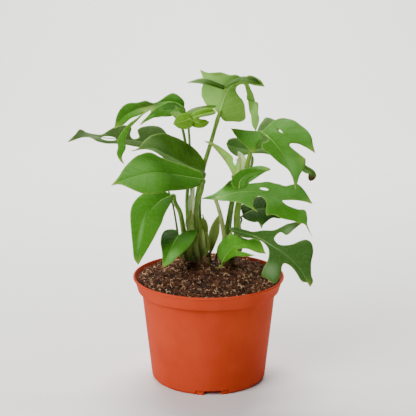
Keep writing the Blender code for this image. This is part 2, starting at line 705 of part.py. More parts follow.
def inside(loop, points):
    """Whether each point lies in the closed loop."""
    found = np.zeros(len(points), bool)
    for start, end in zip(loop, np.roll(loop, -1, axis=0)):
        crosses = (start[1] > points[:, 1]) != (end[1] > points[:, 1])
        with np.errstate(divide="ignore", invalid="ignore"):
            at = start[0] + (points[:, 1] - start[1]) * (end[0] - start[0]) / (end[1] - start[1])
        found ^= crosses & (points[:, 0] < at)
    return found


def distance_to_loops(loops, points):
    edge_points = np.concatenate(loops)
    gaps = points[:, None, :] - edge_points[None, :, :]
    return np.linalg.norm(gaps, axis=2).min(axis=1)


def blade_triangles(blade, spacing, per_span):
    """Flat points and triangles of the blade's drawing."""
    right = blade.margin(blade.right, per_span)
    left = blade.margin(blade.left, per_span) * (1, -1)
    outline = np.concatenate([right, left[-2:0:-1]])
    holes = blade.hole_loops(8)
    count = max(2, int(blade.length / spacing))
    rib = np.linspace(0, blade.length, count + 1)[1:-1]
    rib = np.stack([rib, np.zeros(len(rib))], 1)
    low, high = outline.min(axis=0), outline.max(axis=0)
    rows = []
    for k, out in enumerate(np.arange(low[1], high[1], spacing * 0.87)):
        start = low[0] + (k % 2) * spacing / 2
        rows += [(along, out) for along in np.arange(start, high[0], spacing)]
    grid = np.array(rows)
    clear = distance_to_loops([outline, rib, *holes], grid) > spacing * 0.45
    keep = clear & inside(outline, grid)
    for hole in holes:
        keep &= ~inside(hole, grid)
    points = [outline, rib, *holes, grid[keep]]
    edges = [(k, (k + 1) % len(outline)) for k in range(len(outline))]
    spine = [0, *range(len(outline), len(outline) + len(rib)), len(right) - 1]
    edges += list(zip(spine, spine[1:]))
    start = len(outline) + len(rib)
    for hole in holes:
        edges += [(start + k, start + (k + 1) % len(hole)) for k in range(len(hole))]
        start += len(hole)
    flat = [Vector(point) for point in np.concatenate(points)]
    found = delaunay_2d_cdt(flat, edges, [], 0, 1e-4)
    vertices = np.array([tuple(vertex) for vertex in found[0]])
    faces = np.array([tuple(face) for face in found[2]])
    middles = vertices[faces].mean(axis=1)
    keep = inside(outline, middles)
    for hole in holes:
        keep &= ~inside(hole, middles)
    return vertices, faces[keep]


def make_blade(name, blade, finish, collection):
    vertices, faces = blade_triangles(blade, MESH_SPACING, 2)
    points = place(blade.at(vertices[:, 0], vertices[:, 1]))
    mesh = bpy.data.meshes.new(name)
    mesh.from_pydata(points.tolist(), [], faces.tolist())
    work = bmesh.new()
    work.from_mesh(mesh)
    loose = [vertex for vertex in work.verts if not vertex.link_faces]
    bmesh.ops.delete(work, geom=loose, context="VERTS")
    bmesh.ops.recalc_face_normals(work, faces=work.faces)
    work.to_mesh(mesh)
    work.free()
    made = add_object(name, mesh, finish, collection)
    thick = made.modifiers.new("thickness", "SOLIDIFY")
    thick.thickness = BLADE_THICKNESS
    thick.offset = 0
    thick.use_even_offset = False
    made.data.shade_smooth()
    return made


# ---------------------------------------------------------------- stems and petioles


class Stem:
    """A short upright stem that petioles leave."""

    def __init__(self, path, girth):
        self.points = place(smooth_curve(path, 3))
        self.radius = STEM_RADIUS * girth

    def at(self, height):
        """The axis at a height above the crown's soil."""
        level = place(CROWN_DRAWN)[2] + height * MM * PLANT_SCALE
        columns = [np.interp(level, self.points[:, 2], self.points[:, k]) for k in (0, 1)]
        return np.array([*columns, level])

    def beside(self, height, direction, radius):
        """The middle of a round piece that lies against the stem."""
        turn = math.radians(direction)
        out = np.array([math.cos(turn), math.sin(turn), 0])
        return self.at(height) + out * (self.radius + radius + GAP)


def under_blade(blade, along, radius, extra=0.0):
    """A point on the petiole's middle line, under the midrib."""
    here = place(blade.at([along], [0]))[0]
    ahead = place(blade.at([along + 1], [0]))[0]
    lifted = Blade.at(blade, [along], [0.001])[0] - Blade.at(blade, [along], [-0.001])[0]
    down = -unit(np.cross(unit(lifted), unit(ahead - here)))
    droop = math.cos(max(0.0, -blade.fold.min()))
    drop = (BLADE_THICKNESS / 2 + GAP + radius) / droop + extra
    return here + down * drop


def towards(start, goal, distance):
    """The point at a distance from start, or halfway to the goal if that is nearer."""
    share = min(0.4, distance / np.linalg.norm(goal - start))
    return start + (goal - start) * share


def petiole_path(spec, stems, blade, radius, tip_radius):
    middle = list(place(spec["via"])) if spec["via"] else []
    end = [
        under_blade(blade, blade.attach - 2, tip_radius, 0.8 * MM),
        under_blade(blade, blade.attach + 4, tip_radius),
    ]
    if not spec["stem"]:
        return smooth_curve([*middle, *end], 3)
    stem = stems[spec["stem"]]
    start = [
        stem.beside(spec["height"], spec["direction"], radius),
        stem.beside(spec["height"] + 7, spec["direction"], radius + 0.5 * MM),
    ]
    route = [*start, *middle, *end]
    leaving = towards(start[-1], route[2], LEAVING_STEP)
    arriving = towards(end[0], route[-3], LEAVING_STEP)
    return smooth_curve([*start, leaving, *middle, arriving, *end], 3)


def make_stems(collection):
    finish = material("stem_green", STEM_GREEN, 0.5)
    stems = {}
    feet = []
    for name, spec in STEMS.items():
        stem = Stem(**spec)
        stems[name] = stem
        radii = np.full(len(stem.points), stem.radius)
        tube(name, stem.points, radii, finish, collection, resolution=4)
        feet.append((stem.points, radii + GAP))
    return stems, feet


def make_petioles(stems, blades, collection):
    finish = material("petiole_green", STEM_GREEN, 0.5)
    feet = []
    for name, spec in PETIOLES.items():
        radius = PETIOLE_RADIUS * spec["girth"]
        tip_radius = PETIOLE_TIP_RADIUS * min(1.0, spec["girth"])
        points = petiole_path(spec, stems, blades[name], radius, tip_radius)
        radii = np.linspace(radius, tip_radius, len(points))
        tube(name + "_petiole", points, radii, finish, collection)
        if not spec["stem"]:
            feet.append((points, radii + GAP))
    return feet


def make_sticks(collection):
    finish = material("dry_brown", DRY_BROWN, 0.8)
    feet = []
    for name, path in STICKS.items():
        points = place(smooth_curve(path, 3))
        radii = np.linspace(STICK_RADIUS, STICK_TIP_RADIUS, len(points))
        tube(name, points, radii, finish, collection)
        feet.append((points, radii + GAP))
    return feet


def main():
    clear_scene()
    collection = new_collection("potted_philodendron")
    cutters = new_collection("cutters")
    cutters.hide_render = True
    green = material("leaf_green", LEAF_GREEN, 0.35)
    young = material("young_leaf_green", YOUNG_GREEN, 0.4)
    blades = {name: Blade(**spec) for name, spec in BLADES.items()}
    for name, blade in blades.items():
        finish = young if name in YOUNG_LEAVES else green
        make_blade(name + "_blade", blade, finish, collection)
    stems, feet = make_stems(collection)
    feet += make_petioles(stems, blades, collection)
    feet += make_sticks(collection)
    make_pot(collection, cutters)
    make_soil(collection, cutters, feet)


main()
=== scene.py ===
"""A young split-leaf philodendron in a terracotta-coloured nursery pot.

Units are metres with +Z up, and the origin is the centre of the pot's flat foot. The leaf and
stem drawings are in millimetres, and place() puts them in the frame.
"""

import math

import bmesh
import bpy
import numpy as np
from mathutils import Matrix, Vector, noise
from mathutils.geometry import delaunay_2d_cdt


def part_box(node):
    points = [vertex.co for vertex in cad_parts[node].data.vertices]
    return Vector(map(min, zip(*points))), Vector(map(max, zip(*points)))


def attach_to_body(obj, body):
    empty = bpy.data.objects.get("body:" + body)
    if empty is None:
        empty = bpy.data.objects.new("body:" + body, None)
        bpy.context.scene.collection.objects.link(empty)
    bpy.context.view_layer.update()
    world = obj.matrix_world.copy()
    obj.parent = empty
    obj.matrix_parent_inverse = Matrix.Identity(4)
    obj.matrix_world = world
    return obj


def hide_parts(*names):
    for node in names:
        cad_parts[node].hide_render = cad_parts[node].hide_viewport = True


bl_info = {
    "name": "Potted philodendron",
    "version": (1, 0, 0),
    "blender": (4, 5, 0),
    "location": "View3D > Sidebar > Philodendron",
    "description": "Builds a split-leaf philodendron in a nursery pot, piece by piece",
    "category": "Add Mesh",
}

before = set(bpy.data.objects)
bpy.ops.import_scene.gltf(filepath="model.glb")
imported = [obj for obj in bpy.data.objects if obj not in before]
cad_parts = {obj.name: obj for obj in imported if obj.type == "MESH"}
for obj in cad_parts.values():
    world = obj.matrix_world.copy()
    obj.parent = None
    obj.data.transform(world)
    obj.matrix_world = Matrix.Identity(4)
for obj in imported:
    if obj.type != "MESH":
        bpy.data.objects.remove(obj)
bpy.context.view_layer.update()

MM = 0.001
GAP = 0.3 * MM

# Measures of the frame, and those that its leaves and stalks were made with
RIM_RADIUS = (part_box("pot")[1].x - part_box("pot")[0].x) / 2
POT_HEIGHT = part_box("pot")[1].z
SOIL_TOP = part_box("soil")[1].z
SOIL_RADIUS = (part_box("soil")[1].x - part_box("soil")[0].x) / 2
SOIL_MOUND = 8 * MM
SOIL_EDGE = SOIL_TOP - SOIL_MOUND
SOIL_LEVEL_FROM = 5 * MM  # how far inside the rim the soil is level
CROWN_DRAWN = np.array([0.0, 30.0, 108.0])
BLADE_THICKNESS = 0.8 * MM
STEM_RADIUS = 4.4 * MM
PETIOLE_RADIUS = 1.9 * MM
PETIOLE_TIP_RADIUS = 1.0 * MM
STICK_RADIUS = 0.9 * MM
STICK_TIP_RADIUS = 0.55 * MM
LEAVING_STEP = 9 * MM
RIB_SAMPLES = 65
TIP = "tip"
HOLE_POINTS = 16  # points round a hole in a blade
KEEL_RINGS = 40
KEEL_SIDES = 8

# Pot measures that no user would change
EDGE_SOFTNESS = 0.5 * MM
LIP_OVERHANG = 1.6 * MM
COLLAR_TAPER = 3.4 * MM
FOOT_CORNER = 4 * MM
FLOOR = 2 * MM
NOTCH_WIDTH = 17 * MM
NOTCH_DEPTH = 11 * MM
NOTCH_HEIGHT = 5 * MM
RECESS_WIDTH = 8.6 * MM  # beside each notch
RECESS_DEPTH = 1.7 * MM
TOE_SIZE = (7.2 * MM, 3 * MM, 4.4 * MM)  # in each recess
CUT_MARGIN = 3 * MM  # how far a cutter starts outside what it cuts
DRAIN_WIDTH = 6 * MM

# Soil measures: the mesh of its top, and its mound round the crown
SOIL_RINGS, SOIL_SPOKES = 60, 170
STREW_RINGS, STREW_SPOKES = 26, 70
SOIL_LIFT = 0.35 * MM
SOIL_DEPTH = 4 * MM
CROWN_MOUND = 6 * MM
CROWN_MIDDLE = (-0.008, 0.020)
CROWN_REACH = (0.024, 0.018)
REAR_RISE = 2.8 * MM
SOIL_AREA = 150  # square centimetres, to turn a number of crumbs into their density
BROWN_FOR_EACH_PALE = 4.5  # threads

# Where the camera stands, and how it looks
CAMERA_PLACE = (-0.0005, -1.050, 0.4378)
CAMERA_TILT = 75.98
FOCAL_LENGTH = 94.2

# Each blade: rib is the midrib from base to tip and face is the upper side's direction along
# it. left and right are the margins, as (distance along the rib, distance out from it). fold
# and curl are degrees, and degrees for each 10 mm outwards, for the left and right halves.
# holes are (along, out to the right, half length, half width). attach is where the petiole ends.
BLADES = {
    "left_main": dict(
        rib=[(-5, 0, 206), (-26, -16, 213), (-51, -33, 220), (-74, -48, 218), (-91, -58, 213)],
        face=[(0.1, -0.75, 0.75), (-0.1, -0.62, 0.8), (-0.25, -0.6, 0.75)],
        fold=(8, 6), curl=(8, 4),
        left=[(12, 11), (36, 20), (68, 28), (84, 25), (93, 16), (99, 4)],
        right=[(2, 8), (16, 12), (34, 17), (45, 21), (53, 28), (61, 27), (67, 25), (85, 14),
            (95, 6)],
    ),
    "left_upper": dict(
        rib=[(-4, 24, 208), (-18, 16, 215), (-36, 6, 227), (-55, -4, 238), (-75, -13, 237)],
        face=[(0.1, -0.4, 0.9), (0, -0.3, 0.95), (-0.2, -0.4, 0.9)],
        fold=(-14, 34), curl=(5, 3),
        left=[(13, 6), (30, 10), (51, 9), (67, 4), (76, 1)],
        right=[(1, 12), (11, 22), (29, 26), (49, 25), (61, 18), (71, 9), (79, 2)],
    ),
    "left_hanging": dict(
        rib=[(-36, 0, 190), (-48, -10, 186), (-59, -20, 175), (-65, -27, 152), (-69, -28, 126)],
        face=[(-0.3, -0.7, 0.6), (-0.3, -0.9, 0.3), (-0.2, -1, 0.05)],
        fold=(10, 14), curl=(8, 8),
        left=[(5, 7), (18, 13), (37, 17), (51, 14), (65, 9), (77, 4)],
        right=[(7, 11), (18, 17), (29, 19), (37, 18), (51, 13), (68, 8), (80, 5)],
    ),
    "left_heart": dict(
        rib=[(-30, 2, 148), (-34, -8, 144), (-40, -18, 134), (-45, -26, 123)],
        face=[(-0.1, -0.6, 0.8), (-0.15, -0.8, 0.6)],
        fold=(10, 14), curl=(10, 14),
        left=[(-6, 3), (-13, 14), (-2, 17), (11, 17), (24, 12), (35, 7)],
        right=[(-6, 4), (-5, 11), (1, 16), (16, 13), (28, 6)],
    ),
    "left_split": dict(
        rib=[(-24, 30, 273), (-33, 24, 279), (-45, 18, 280), (-57, 12, 277), (-71, 7, 274),
            (-82, 2, 268), (-92, -2, 257)],
        face=[(0.1, -0.5, 0.85), (-0.05, -0.6, 0.8), (-0.2, -0.7, 0.7)],
        fold=(8, 20), curl=(8, 9),
        left=[(11, 14), (28, 20), (39, 18), (45, 16), (63, 19, TIP), (50, 15), (44, 11),
            (42, 6, TIP), (62, 14), (76, 15), (86, 19), (92, 25), (101, 28), (105, 35, TIP),
            (105, 29), (102, 22), (96, 18), (90, 12), (76, 10), (61, 11), (46, 6, TIP),
            (57, 9), (66, 7), (75, 6)],
        right=[(1, 7), (8, 10), (13, 11), (19, 8), (27, 3), (35, 2), (42, 7), (51, 7),
            (58, 10), (66, 9), (75, 5)],
    ),
    "left_young": dict(
        rib=[(-22, 6, 272), (-21, -5, 273), (-20, -16, 270), (-19, -24, 263)],
        face=[(0, -0.15, 1), (0, -0.3, 1), (0, -0.5, 0.9)],
        fold=(26, 12), curl=(10, 14),
        left=[(-2, 7), (0, 17), (5, 26), (11, 30), (17, 26), (23, 18), (29, 9)],
        right=[(-3, 6), (0, 13), (10, 16), (21, 13), (30, 7)],
    ),
    "left_far": dict(
        rib=[(-44, 40, 229), (-60, 42, 234), (-80, 44, 237), (-103, 46, 239), (-123, 48, 241),
            (-145, 50, 234)],
        face=[(0, -0.6, 0.8), (0, -0.6, 0.8), (0, -0.7, 0.7)],
        fold=(5, 15), curl=(6, 8),
        left=[(15, 6), (30, 8), (44, 7), (59, 8), (70, 7), (78, 3), (92, 0)],
        right=[(-2, 10), (10, 22), (18, 23), (27, 19), (32, 13), (29, 5), (34, 2), (38, 6),
            (39, 16), (50, 17), (60, 10), (67, 3), (75, 2), (82, 4), (88, 9), (94, 5)],
        holes=[(59, -1, 8.1, 2.9)],
    ),
    "top": dict(
        rib=[(10, 30, 266), (14, 28, 277), (18, 25, 289), (25, 22, 298), (34, 18, 304)],
        face=[(-0.1, 0.9, 0.3), (-0.1, 0.85, 0.4), (-0.1, 0.85, 0.5)],
        fold=(-6, -12), curl=(-5, -6),
        left=[(-5, 8), (-3, 17), (-1, 25), (4, 28), (12, 24), (24, 16), (32, 7), (38, 5),
            (44, 8), (36, 19), (16, 26), (7, 33), (-2, 38), (-8, 45, TIP), (5, 44), (14, 38),
            (40, 29), (46, 16), (48, 10), (52, 16), (58, 23, TIP), (60, 13), (56, 2)],
        right=[(5, 8), (7, 17), (15, 23), (22, 26), (25, 28), (23, 41, TIP), (27, 32),
            (28, 31), (31, 38, TIP), (32, 30), (35, 25), (38, 21), (41, 12), (46, 8)],
    ),
    "right_upper": dict(
        rib=[(53, 20, 250), (61, 12, 245), (71, 2, 234), (80, -9, 218), (85, -19, 200)],
        face=[(0.1, -0.6, 0.8), (0.15, -0.75, 0.65), (0.2, -0.9, 0.4)],
        fold=(8, 8), curl=(7, 6),
        left=[(-1, 7), (-3, 14), (-4, 23), (-3, 34), (4, 39), (12, 41), (19, 42), (28, 40),
            (35, 36), (44, 32, TIP), (36, 25), (31, 20), (28, 14), (30, 11), (38, 14),
            (47, 19, TIP), (53, 15), (60, 7)],
        right=[(-11, 11), (-23, 21, TIP), (-9, 25), (10, 27), (20, 26, TIP), (13, 16), (9, 8),
            (5, 2), (8, 0), (14, 4), (14, 11), (18, 15), (29, 13), (41, 9), (51, 3), (58, 1),
            (65, 0)],
        holes=[(9, -14, 5.3, 1.2)],
    ),
    "right_middle": dict(
        rib=[(-7, 2, 186), (7, 0, 187), (25, -4, 193), (43, -7, 195), (62, -10, 193),
            (84, -13, 190), (102, -15, 185)],
        face=[(-0.2, -0.6, 0.8), (0, -0.6, 0.8), (0, -0.55, 0.85), (0.2, -0.55, 0.8)],
        fold=(8, 6), curl=(5, 8), attach=16,
        left=[(7, 3), (15, 6), (23, 10), (30, 16), (37, 18), (44, 28), (50, 34), (57, 37),
            (65, 34, TIP), (58, 24), (52, 15), (48, 10), (57, 12), (66, 15), (76, 14),
            (83, 13), (89, 17), (94, 19), (100, 14), (107, 6)],
        right=[(11, 2), (27, 9), (38, 13), (47, 18), (62, 25, TIP), (56, 19), (55, 12),
            (58, 6), (63, 6), (68, 12), (70, 26), (77, 25), (87, 28), (101, 28), (110, 28),
            (114, 32), (121, 39, TIP), (113, 28), (111, 20), (107, 12), (99, 14), (89, 12),
            (83, 7), (91, 4), (103, 1)],
        holes=[(63, -5, 4.4, 1.6)],
    ),
    "right_lower": dict(
        rib=[(20, -8, 158), (31, -12, 155), (43, -16, 153), (53, -22, 150), (63, -28, 145),
            (75, -34, 138), (88, -40, 126), (99, -44, 109)],
        face=[(-0.1, -0.6, 0.8), (0, -0.7, 0.7), (0, -0.8, 0.6), (0.2, -0.95, 0.3)],
        fold=(6, 6), curl=(5, 7), attach=25,
        left=[(6, 4), (17, 4), (24, 4), (31, 9), (39, 14), (43, 21), (46, 29), (52, 36),
            (58, 39, TIP), (56, 28), (54, 18), (47, 17), (45, 13), (46, 7), (53, 5), (59, 8),
            (63, 13), (66, 21), (69, 26), (74, 27), (80, 22), (86, 13), (94, 7), (101, 5)],
        right=[(6, 3), (13, 4), (20, 5), (29, 3), (37, 2), (46, 4), (51, 9), (54, 16),
            (55, 24), (58, 31), (69, 30), (78, 28), (77, 21), (73, 15), (70, 11), (70, 7),
            (76, 5), (84, 5), (95, 5), (100, 0)],
    ),
    "front_right": dict(
        rib=[(13, 4, 118), (19, 0, 130), (28, -4, 139), (41, -8, 141), (57, -12, 133)],
        face=[(-0.3, -0.6, 0.7), (0, -0.6, 0.8), (0.2, -0.7, 0.7)],
        fold=(5, 10), curl=(6, 10),
        left=[(3, 9), (9, 15), (14, 17), (20, 17), (24, 17), (29, 11), (38, 6), (44, 9),
            (50, 8), (56, 3)],
        right=[(7, 5), (19, 10), (35, 16), (46, 14), (52, 9, TIP), (44, 11), (34, 10), (28, 7),
            (32, 6), (40, 6), (51, 5)],
    ),
    "right_rear": dict(
        rib=[(18, 36, 235), (32, 38, 230), (46, 39, 228), (61, 43, 229), (76, 46, 225),
            (87, 46, 216), (99, 43, 208), (106, 39, 203), (104, 35, 196)],
        face=[(0, -0.8, 0.6), (0, -0.75, 0.65), (0.1, -0.7, 0.7), (0.6, -0.5, 0.6)],
        fold=(5, 5), curl=(5, 6), attach=27,
        left=[(2, 6), (10, 10), (20, 8), (36, 17), (43, 31), (47, 40), (53, 37), (56, 33),
            (55, 17), (63, 9), (75, 6), (88, 4), (99, 5), (105, 3)],
        right=[(3, 5), (9, 9), (16, 10), (25, 5), (34, 5), (45, 8), (58, 9), (72, 7),
            (88, 6), (97, 6), (106, 4)],
    ),
    "rear_right": dict(
        rib=[(35, 30, 162), (47, 36, 166), (62, 42, 166), (81, 46, 163)],
        face=[(0, -0.5, 0.85), (0.1, -0.6, 0.8)],
        fold=(6, 6), curl=(8, 10),
        left=[(4, 9), (12, 14), (22, 17), (29, 16), (38, 12), (46, 9)],
        right=[(-2, 4), (0, 10), (4, 15), (8, 17), (6, 25, TIP), (18, 20), (33, 13), (43, 12)],
    ),
    "shoot": dict(
        rib=[(27, 18, 203), (20, 15, 217), (12, 12, 229), (3, 9, 239), (-5, 8, 243)],
        face=[(0.8, -0.6, 0.5), (0.6, -0.7, 0.6), (0.6, -0.7, 0.6)],
        fold=(20, 30), curl=(14, -30),
        left=[(13, 0), (24, 2), (35, 2)],
        right=[(8, 5), (16, 6), (20, 8), (30, 6), (38, 4)],
    ),
    "shoot_tip": dict(
        rib=[(29, 28, 202), (32, 28, 210), (33, 27, 220), (30, 26, 229)],
        face=[(-0.3, -0.9, 0.4), (0.2, -0.95, 0.2), (0.4, -0.9, 0.3)],
        fold=(25, 25), curl=(-30, -34),
        left=[(9, 6), (25, 14), (23, 6)],
        right=[(8, 3), (15, 5), (20, 5), (24, 3)],
    ),
    "crown_upright": dict(
        rib=[(2, 20, 122), (3, 17, 136), (6, 14, 152), (10, 12, 166)],
        face=[(0.3, -0.9, 0.1), (0.2, -0.9, 0.2)],
        fold=(30, 30), curl=(10, 10),
        left=[(12, 4), (26, 6), (38, 4)],
        right=[(12, 4), (26, 6), (38, 4)],
    ),
    "crown_round": dict(
        rib=[(-3, 20, 142), (-4, 17, 151), (-5, 14, 158), (-6, 10, 164)],
        face=[(0, -0.9, 0.3), (0, -0.8, 0.5)],
        fold=(10, 10), curl=(14, 14),
        left=[(4, 3), (12, 4), (20, 3)],
        right=[(4, 3), (12, 4), (20, 3)],
    ),
    "crown_front": dict(
        rib=[(-6, 16, 118), (-7, 13, 130), (-7, 11, 142), (-6, 11, 152)],
        face=[(-0.2, -0.95, 0.2), (-0.2, -0.95, 0.2)],
        fold=(25, 25), curl=(12, 12),
        left=[(8, 4), (20, 5), (30, 3)],
        right=[(8, 4), (20, 5), (30, 3)],
    ),
    "crown_sheath": dict(
        rib=[(-17, 14, 162), (-17, 11, 175), (-16, 9, 187), (-14, 8, 197)],
        face=[(-0.4, -0.9, 0.1), (-0.3, -0.95, 0.1)],
        fold=(20, 25), curl=(10, 10),
        left=[(8, 3), (20, 4), (30, 2)],
        right=[(8, 3), (20, 4), (30, 2)],
    ),
}

# Each petiole: the stem that it leaves, at what height and in what direction round it, the
# points that it passes, and its thickness as a share of the usual one.
PETIOLES = {
    "left_main": dict(
        stem="stem_left", height=22, direction=285, girth=1.25,
        via=[(-12, 12, 175), (-7, 8, 192)],
    ),
    "left_upper": dict(
        stem="stem_left", height=14, direction=0, girth=0.9,
        via=[(-9, 22, 174), (-6, 20, 196)],
    ),
    "left_hanging": dict(
        stem="stem_rear", height=12, direction=285, girth=0.95,
        via=[(-28, 14, 166), (-33, 9, 179)],
    ),
    "left_heart": dict(
        stem="stem_rear", height=4, direction=250, girth=0.7,
        via=[(-26, 12, 138)],
    ),
    "left_split": dict(
        stem="stem_rear", height=20, direction=20, girth=0.85,
        via=[(-22, 32, 176), (-20, 38, 206), (-23, 40, 232), (-27, 37, 256)],
    ),
    "left_young": dict(
        stem="stem_left", height=24, direction=100, girth=0.7,
        via=[(-17, 30, 177), (-18, 37, 206), (-19, 37, 232), (-20, 24, 255)],
    ),
    "left_far": dict(
        stem="stem_rear", height=8, direction=200, girth=0.6,
        via=[(-36, 34, 169), (-44, 40, 195), (-47, 44, 215)],
    ),
    "top": dict(
        stem="stem_left", height=16, direction=55, girth=1.1,
        via=[(-12, 36, 170), (-6, 38, 206), (1, 36, 231)],
    ),
    "right_upper": dict(
        stem="stem_right", height=18, direction=340, girth=1.25,
        via=[(29, 20, 166), (34, 22, 191), (39, 24, 214), (43, 25, 231)],
    ),
    "right_middle": dict(
        stem="stem_right", height=12, direction=225, girth=0.9,
        via=[(13, 8, 163)],
    ),
    "right_lower": dict(
        stem="stem_right", height=8, direction=300, girth=0.9,
        via=[(31, 10, 146), (35, -2, 150)],
    ),
    "right_rear": dict(
        stem="stem_right", height=14, direction=60, girth=0.8,
        via=[(32, 39, 168), (40, 39, 198), (45, 41, 216)],
    ),
    "rear_right": dict(
        stem="stem_right", height=8, direction=20, girth=0.7,
        via=[(32, 28, 150), (34, 30, 156)],
    ),
    "shoot": dict(
        stem="stem_right", height=22, direction=180, girth=1,
        via=[(22, 19, 171), (25, 20, 189)],
    ),
    "shoot_tip": dict(
        stem="stem_right", height=24, direction=120, girth=0.8,
        via=[(25, 31, 171), (28, 30, 189)],
    ),
    "front_right": dict(
        stem=None, height=0, direction=0, girth=0.8,
        via=[(7, 5, 105), (10, 4, 112)],
    ),
    "crown_upright": dict(
        stem=None, height=0, direction=0, girth=0.7,
        via=[(3, 26, 96), (2, 24, 108)],
    ),
    "crown_round": dict(
        stem="stem_left", height=12, direction=330, girth=0.6,
        via=[],
    ),
    "crown_front": dict(
        stem=None, height=0, direction=0, girth=0.7,
        via=[(-4, 22, 96), (-5, 20, 107)],
    ),
    "crown_sheath": dict(
        stem="stem_left", height=22, direction=235, girth=0.6,
        via=[],
    ),
}

STEMS = {
    "stem_left": dict(
        path=[(-12, 30, 95), (-12, 30, 108), (-13, 29, 124), (-15, 27, 142)], girth=1.0
    ),
    "stem_rear": dict(
        path=[(-22, 33, 95), (-23, 33, 108), (-24, 32, 122), (-25, 30, 137)], girth=0.75
    ),
    "stem_right": dict(
        path=[(22, 30, 95), (22, 30, 108), (23, 28, 121), (24, 26, 135)], girth=0.95
    ),
}

# Two dead, dry petioles that stand in the soil.
STICKS = {
    "dead_petiole_left": [(-1, 30, 96), (-1, 28, 112), (-1, 27, 140), (-3, 27, 152), (-6, 27, 163)],
    "dead_petiole_right": [(8, 20, 96), (7, 20, 108), (8, 21, 118), (10, 22, 131)],
}

# Lobes that fold over in front of their blade, and the crown's leaf sheaths, drawn in the same
# way as the blades.
LOBES = {
    "top_fold": dict(
        rib=[(16, 19, 294), (2, 13, 300), (-9, 12, 301), (-21, 13, 300)],
        face=[(0.1, -0.6, 0.8), (0, -0.7, 0.7)], fold=(10, 10), curl=(8, 8),
        left=[(2, 4), (9, 5), (17, 5), (27, 3), (34, 1)],
        right=[(2, 5), (8, 7), (16, 6), (26, 4), (33, 2)],
    ),
    "top_crest": dict(
        rib=[(16, 20, 295), (23, 16, 300), (34, 13, 303), (45, 15, 301), (54, 19, 296)],
        face=[(0, -0.6, 0.8), (0.2, -0.6, 0.8)], fold=(6, 14), curl=(8, 8),
        left=[(2, 5), (9, 6), (20, 4), (31, 4), (38, 2)],
        right=[(2, 5), (9, 6), (20, 4), (31, 5), (38, 2)],
    ),
    "split_front": dict(
        rib=[(-25, 20, 272), (-40, 5, 274), (-51, 1, 272), (-60, -6, 267), (-66, -12, 262)],
        face=[(-0.1, -0.9, 0.4), (-0.2, -0.9, 0.3)], fold=(8, 8), curl=(8, 6),
        left=[(3, 3), (10, 5), (22, 7), (32, 5), (42, 3)],
        right=[(3, 5), (10, 8), (20, 8), (30, 5), (42, 2)],
    ),
    "young_left": dict(
        rib=[(-16, -24, 271), (-24, -25, 268), (-34, -22, 265)],
        face=[(-0.1, -0.9, 0.4), (-0.4, -0.9, 0.3)], fold=(14, 14), curl=(14, 10),
        left=[(1, 7), (6, 9), (12, 7), (16, 4)],
        right=[(1, 6), (6, 7), (12, 7), (16, 4)],
    ),
    "young_right": dict(
        rib=[(-16, -22, 271), (-6, -20, 274), (7, -12, 276)],
        face=[(0, -0.6, 0.8), (0.2, -0.6, 0.8)], fold=(22, 16), curl=(14, 14),
        left=[(2, 4), (9, 5), (17, 5), (23, 3)],
        right=[(2, 3), (9, 4), (17, 5), (23, 4)],
    ),
    "young_low": dict(
        rib=[(-16, -25, 269), (-8, -24, 266), (1, -18, 266)],
        face=[(0, -1, 0.2), (0.2, -0.9, 0.3)], fold=(10, 12), curl=(10, 10),
        left=[(2, 3), (8, 4), (15, 3)], right=[(2, 5), (8, 5), (15, 3)],
    ),
    "young_spike": dict(
        rib=[(-20, -20, 273), (-27, -17, 277), (-32, -14, 281)],
        face=[(0, -0.9, 0.5), (0, -0.9, 0.5)], fold=(20, 20), curl=(12, 12),
        left=[(2, 2), (7, 2)], right=[(2, 2), (7, 2)],
    ),
    "middle_lobe": dict(
        rib=[(30, -4, 197), (31, 3, 203), (37, 9, 208), (46, 12, 210), (62, 16, 212)],
        face=[(0, -0.7, 0.7), (0, -0.7, 0.7)], fold=(6, 6), curl=(7, 6),
        left=[(1, 5), (7, 8), (14, 8), (22, 7), (30, 5), (38, 2)],
        right=[(4, 8), (11, 7), (19, 6), (30, 5), (38, 2)],
    ),
}


def sheath(rib, side):
    """A leaf sheath: narrow, alike on both sides of its rib, and bent to a trough."""
    return dict(
        rib=rib, face=[(-0.2, -1, 0.1), (0, -1, 0.2)], fold=(24, 20), curl=(40, 36),
        left=side, right=side,
    )


LOBES.update({
    "sheath_pale": sheath(
        [(-9, 10, 119), (-13, 10, 133), (-11, 10, 149)], [(4, 2), (12, 3), (22, 2), (28, 1)]
    ),
    "sheath_round": sheath(
        [(-6, 13, 126), (-7, 13, 143), (-10, 13, 164)], [(3, 3), (11, 4), (18, 3), (24, 1.5)]
    ),
    "sheath_inner": sheath(
        [(-5, 11, 122), (-1, 11, 136), (-3, 11, 149)], [(3, 2.5), (11, 3), (20, 2.5), (25, 1)]
    ),
    "sheath_left": sheath(
        [(-20, 12, 118), (-22, 12, 132), (-19, 12, 147)], [(3, 3.5), (12, 4.5), (20, 3.5), (26, 2)]
    ),
    "sheath_low": sheath(
        [(-14, 9, 118), (-18, 9, 131), (-16, 9, 142)], [(3, 3), (10, 3.5), (18, 3), (23, 1.5)]
    ),
    "sheath_stout": sheath(
        [(-17, 12, 148), (-19, 12, 160), (-16, 12, 173)], [(3, 3.5), (10, 4.5), (18, 3.5), (23, 2)]
    ),
    "sheath_right": sheath(
        [(25, 14, 122), (22, 14, 135), (23, 14, 149)], [(3, 3), (11, 4), (19, 3), (25, 1.5)]
    ),
})

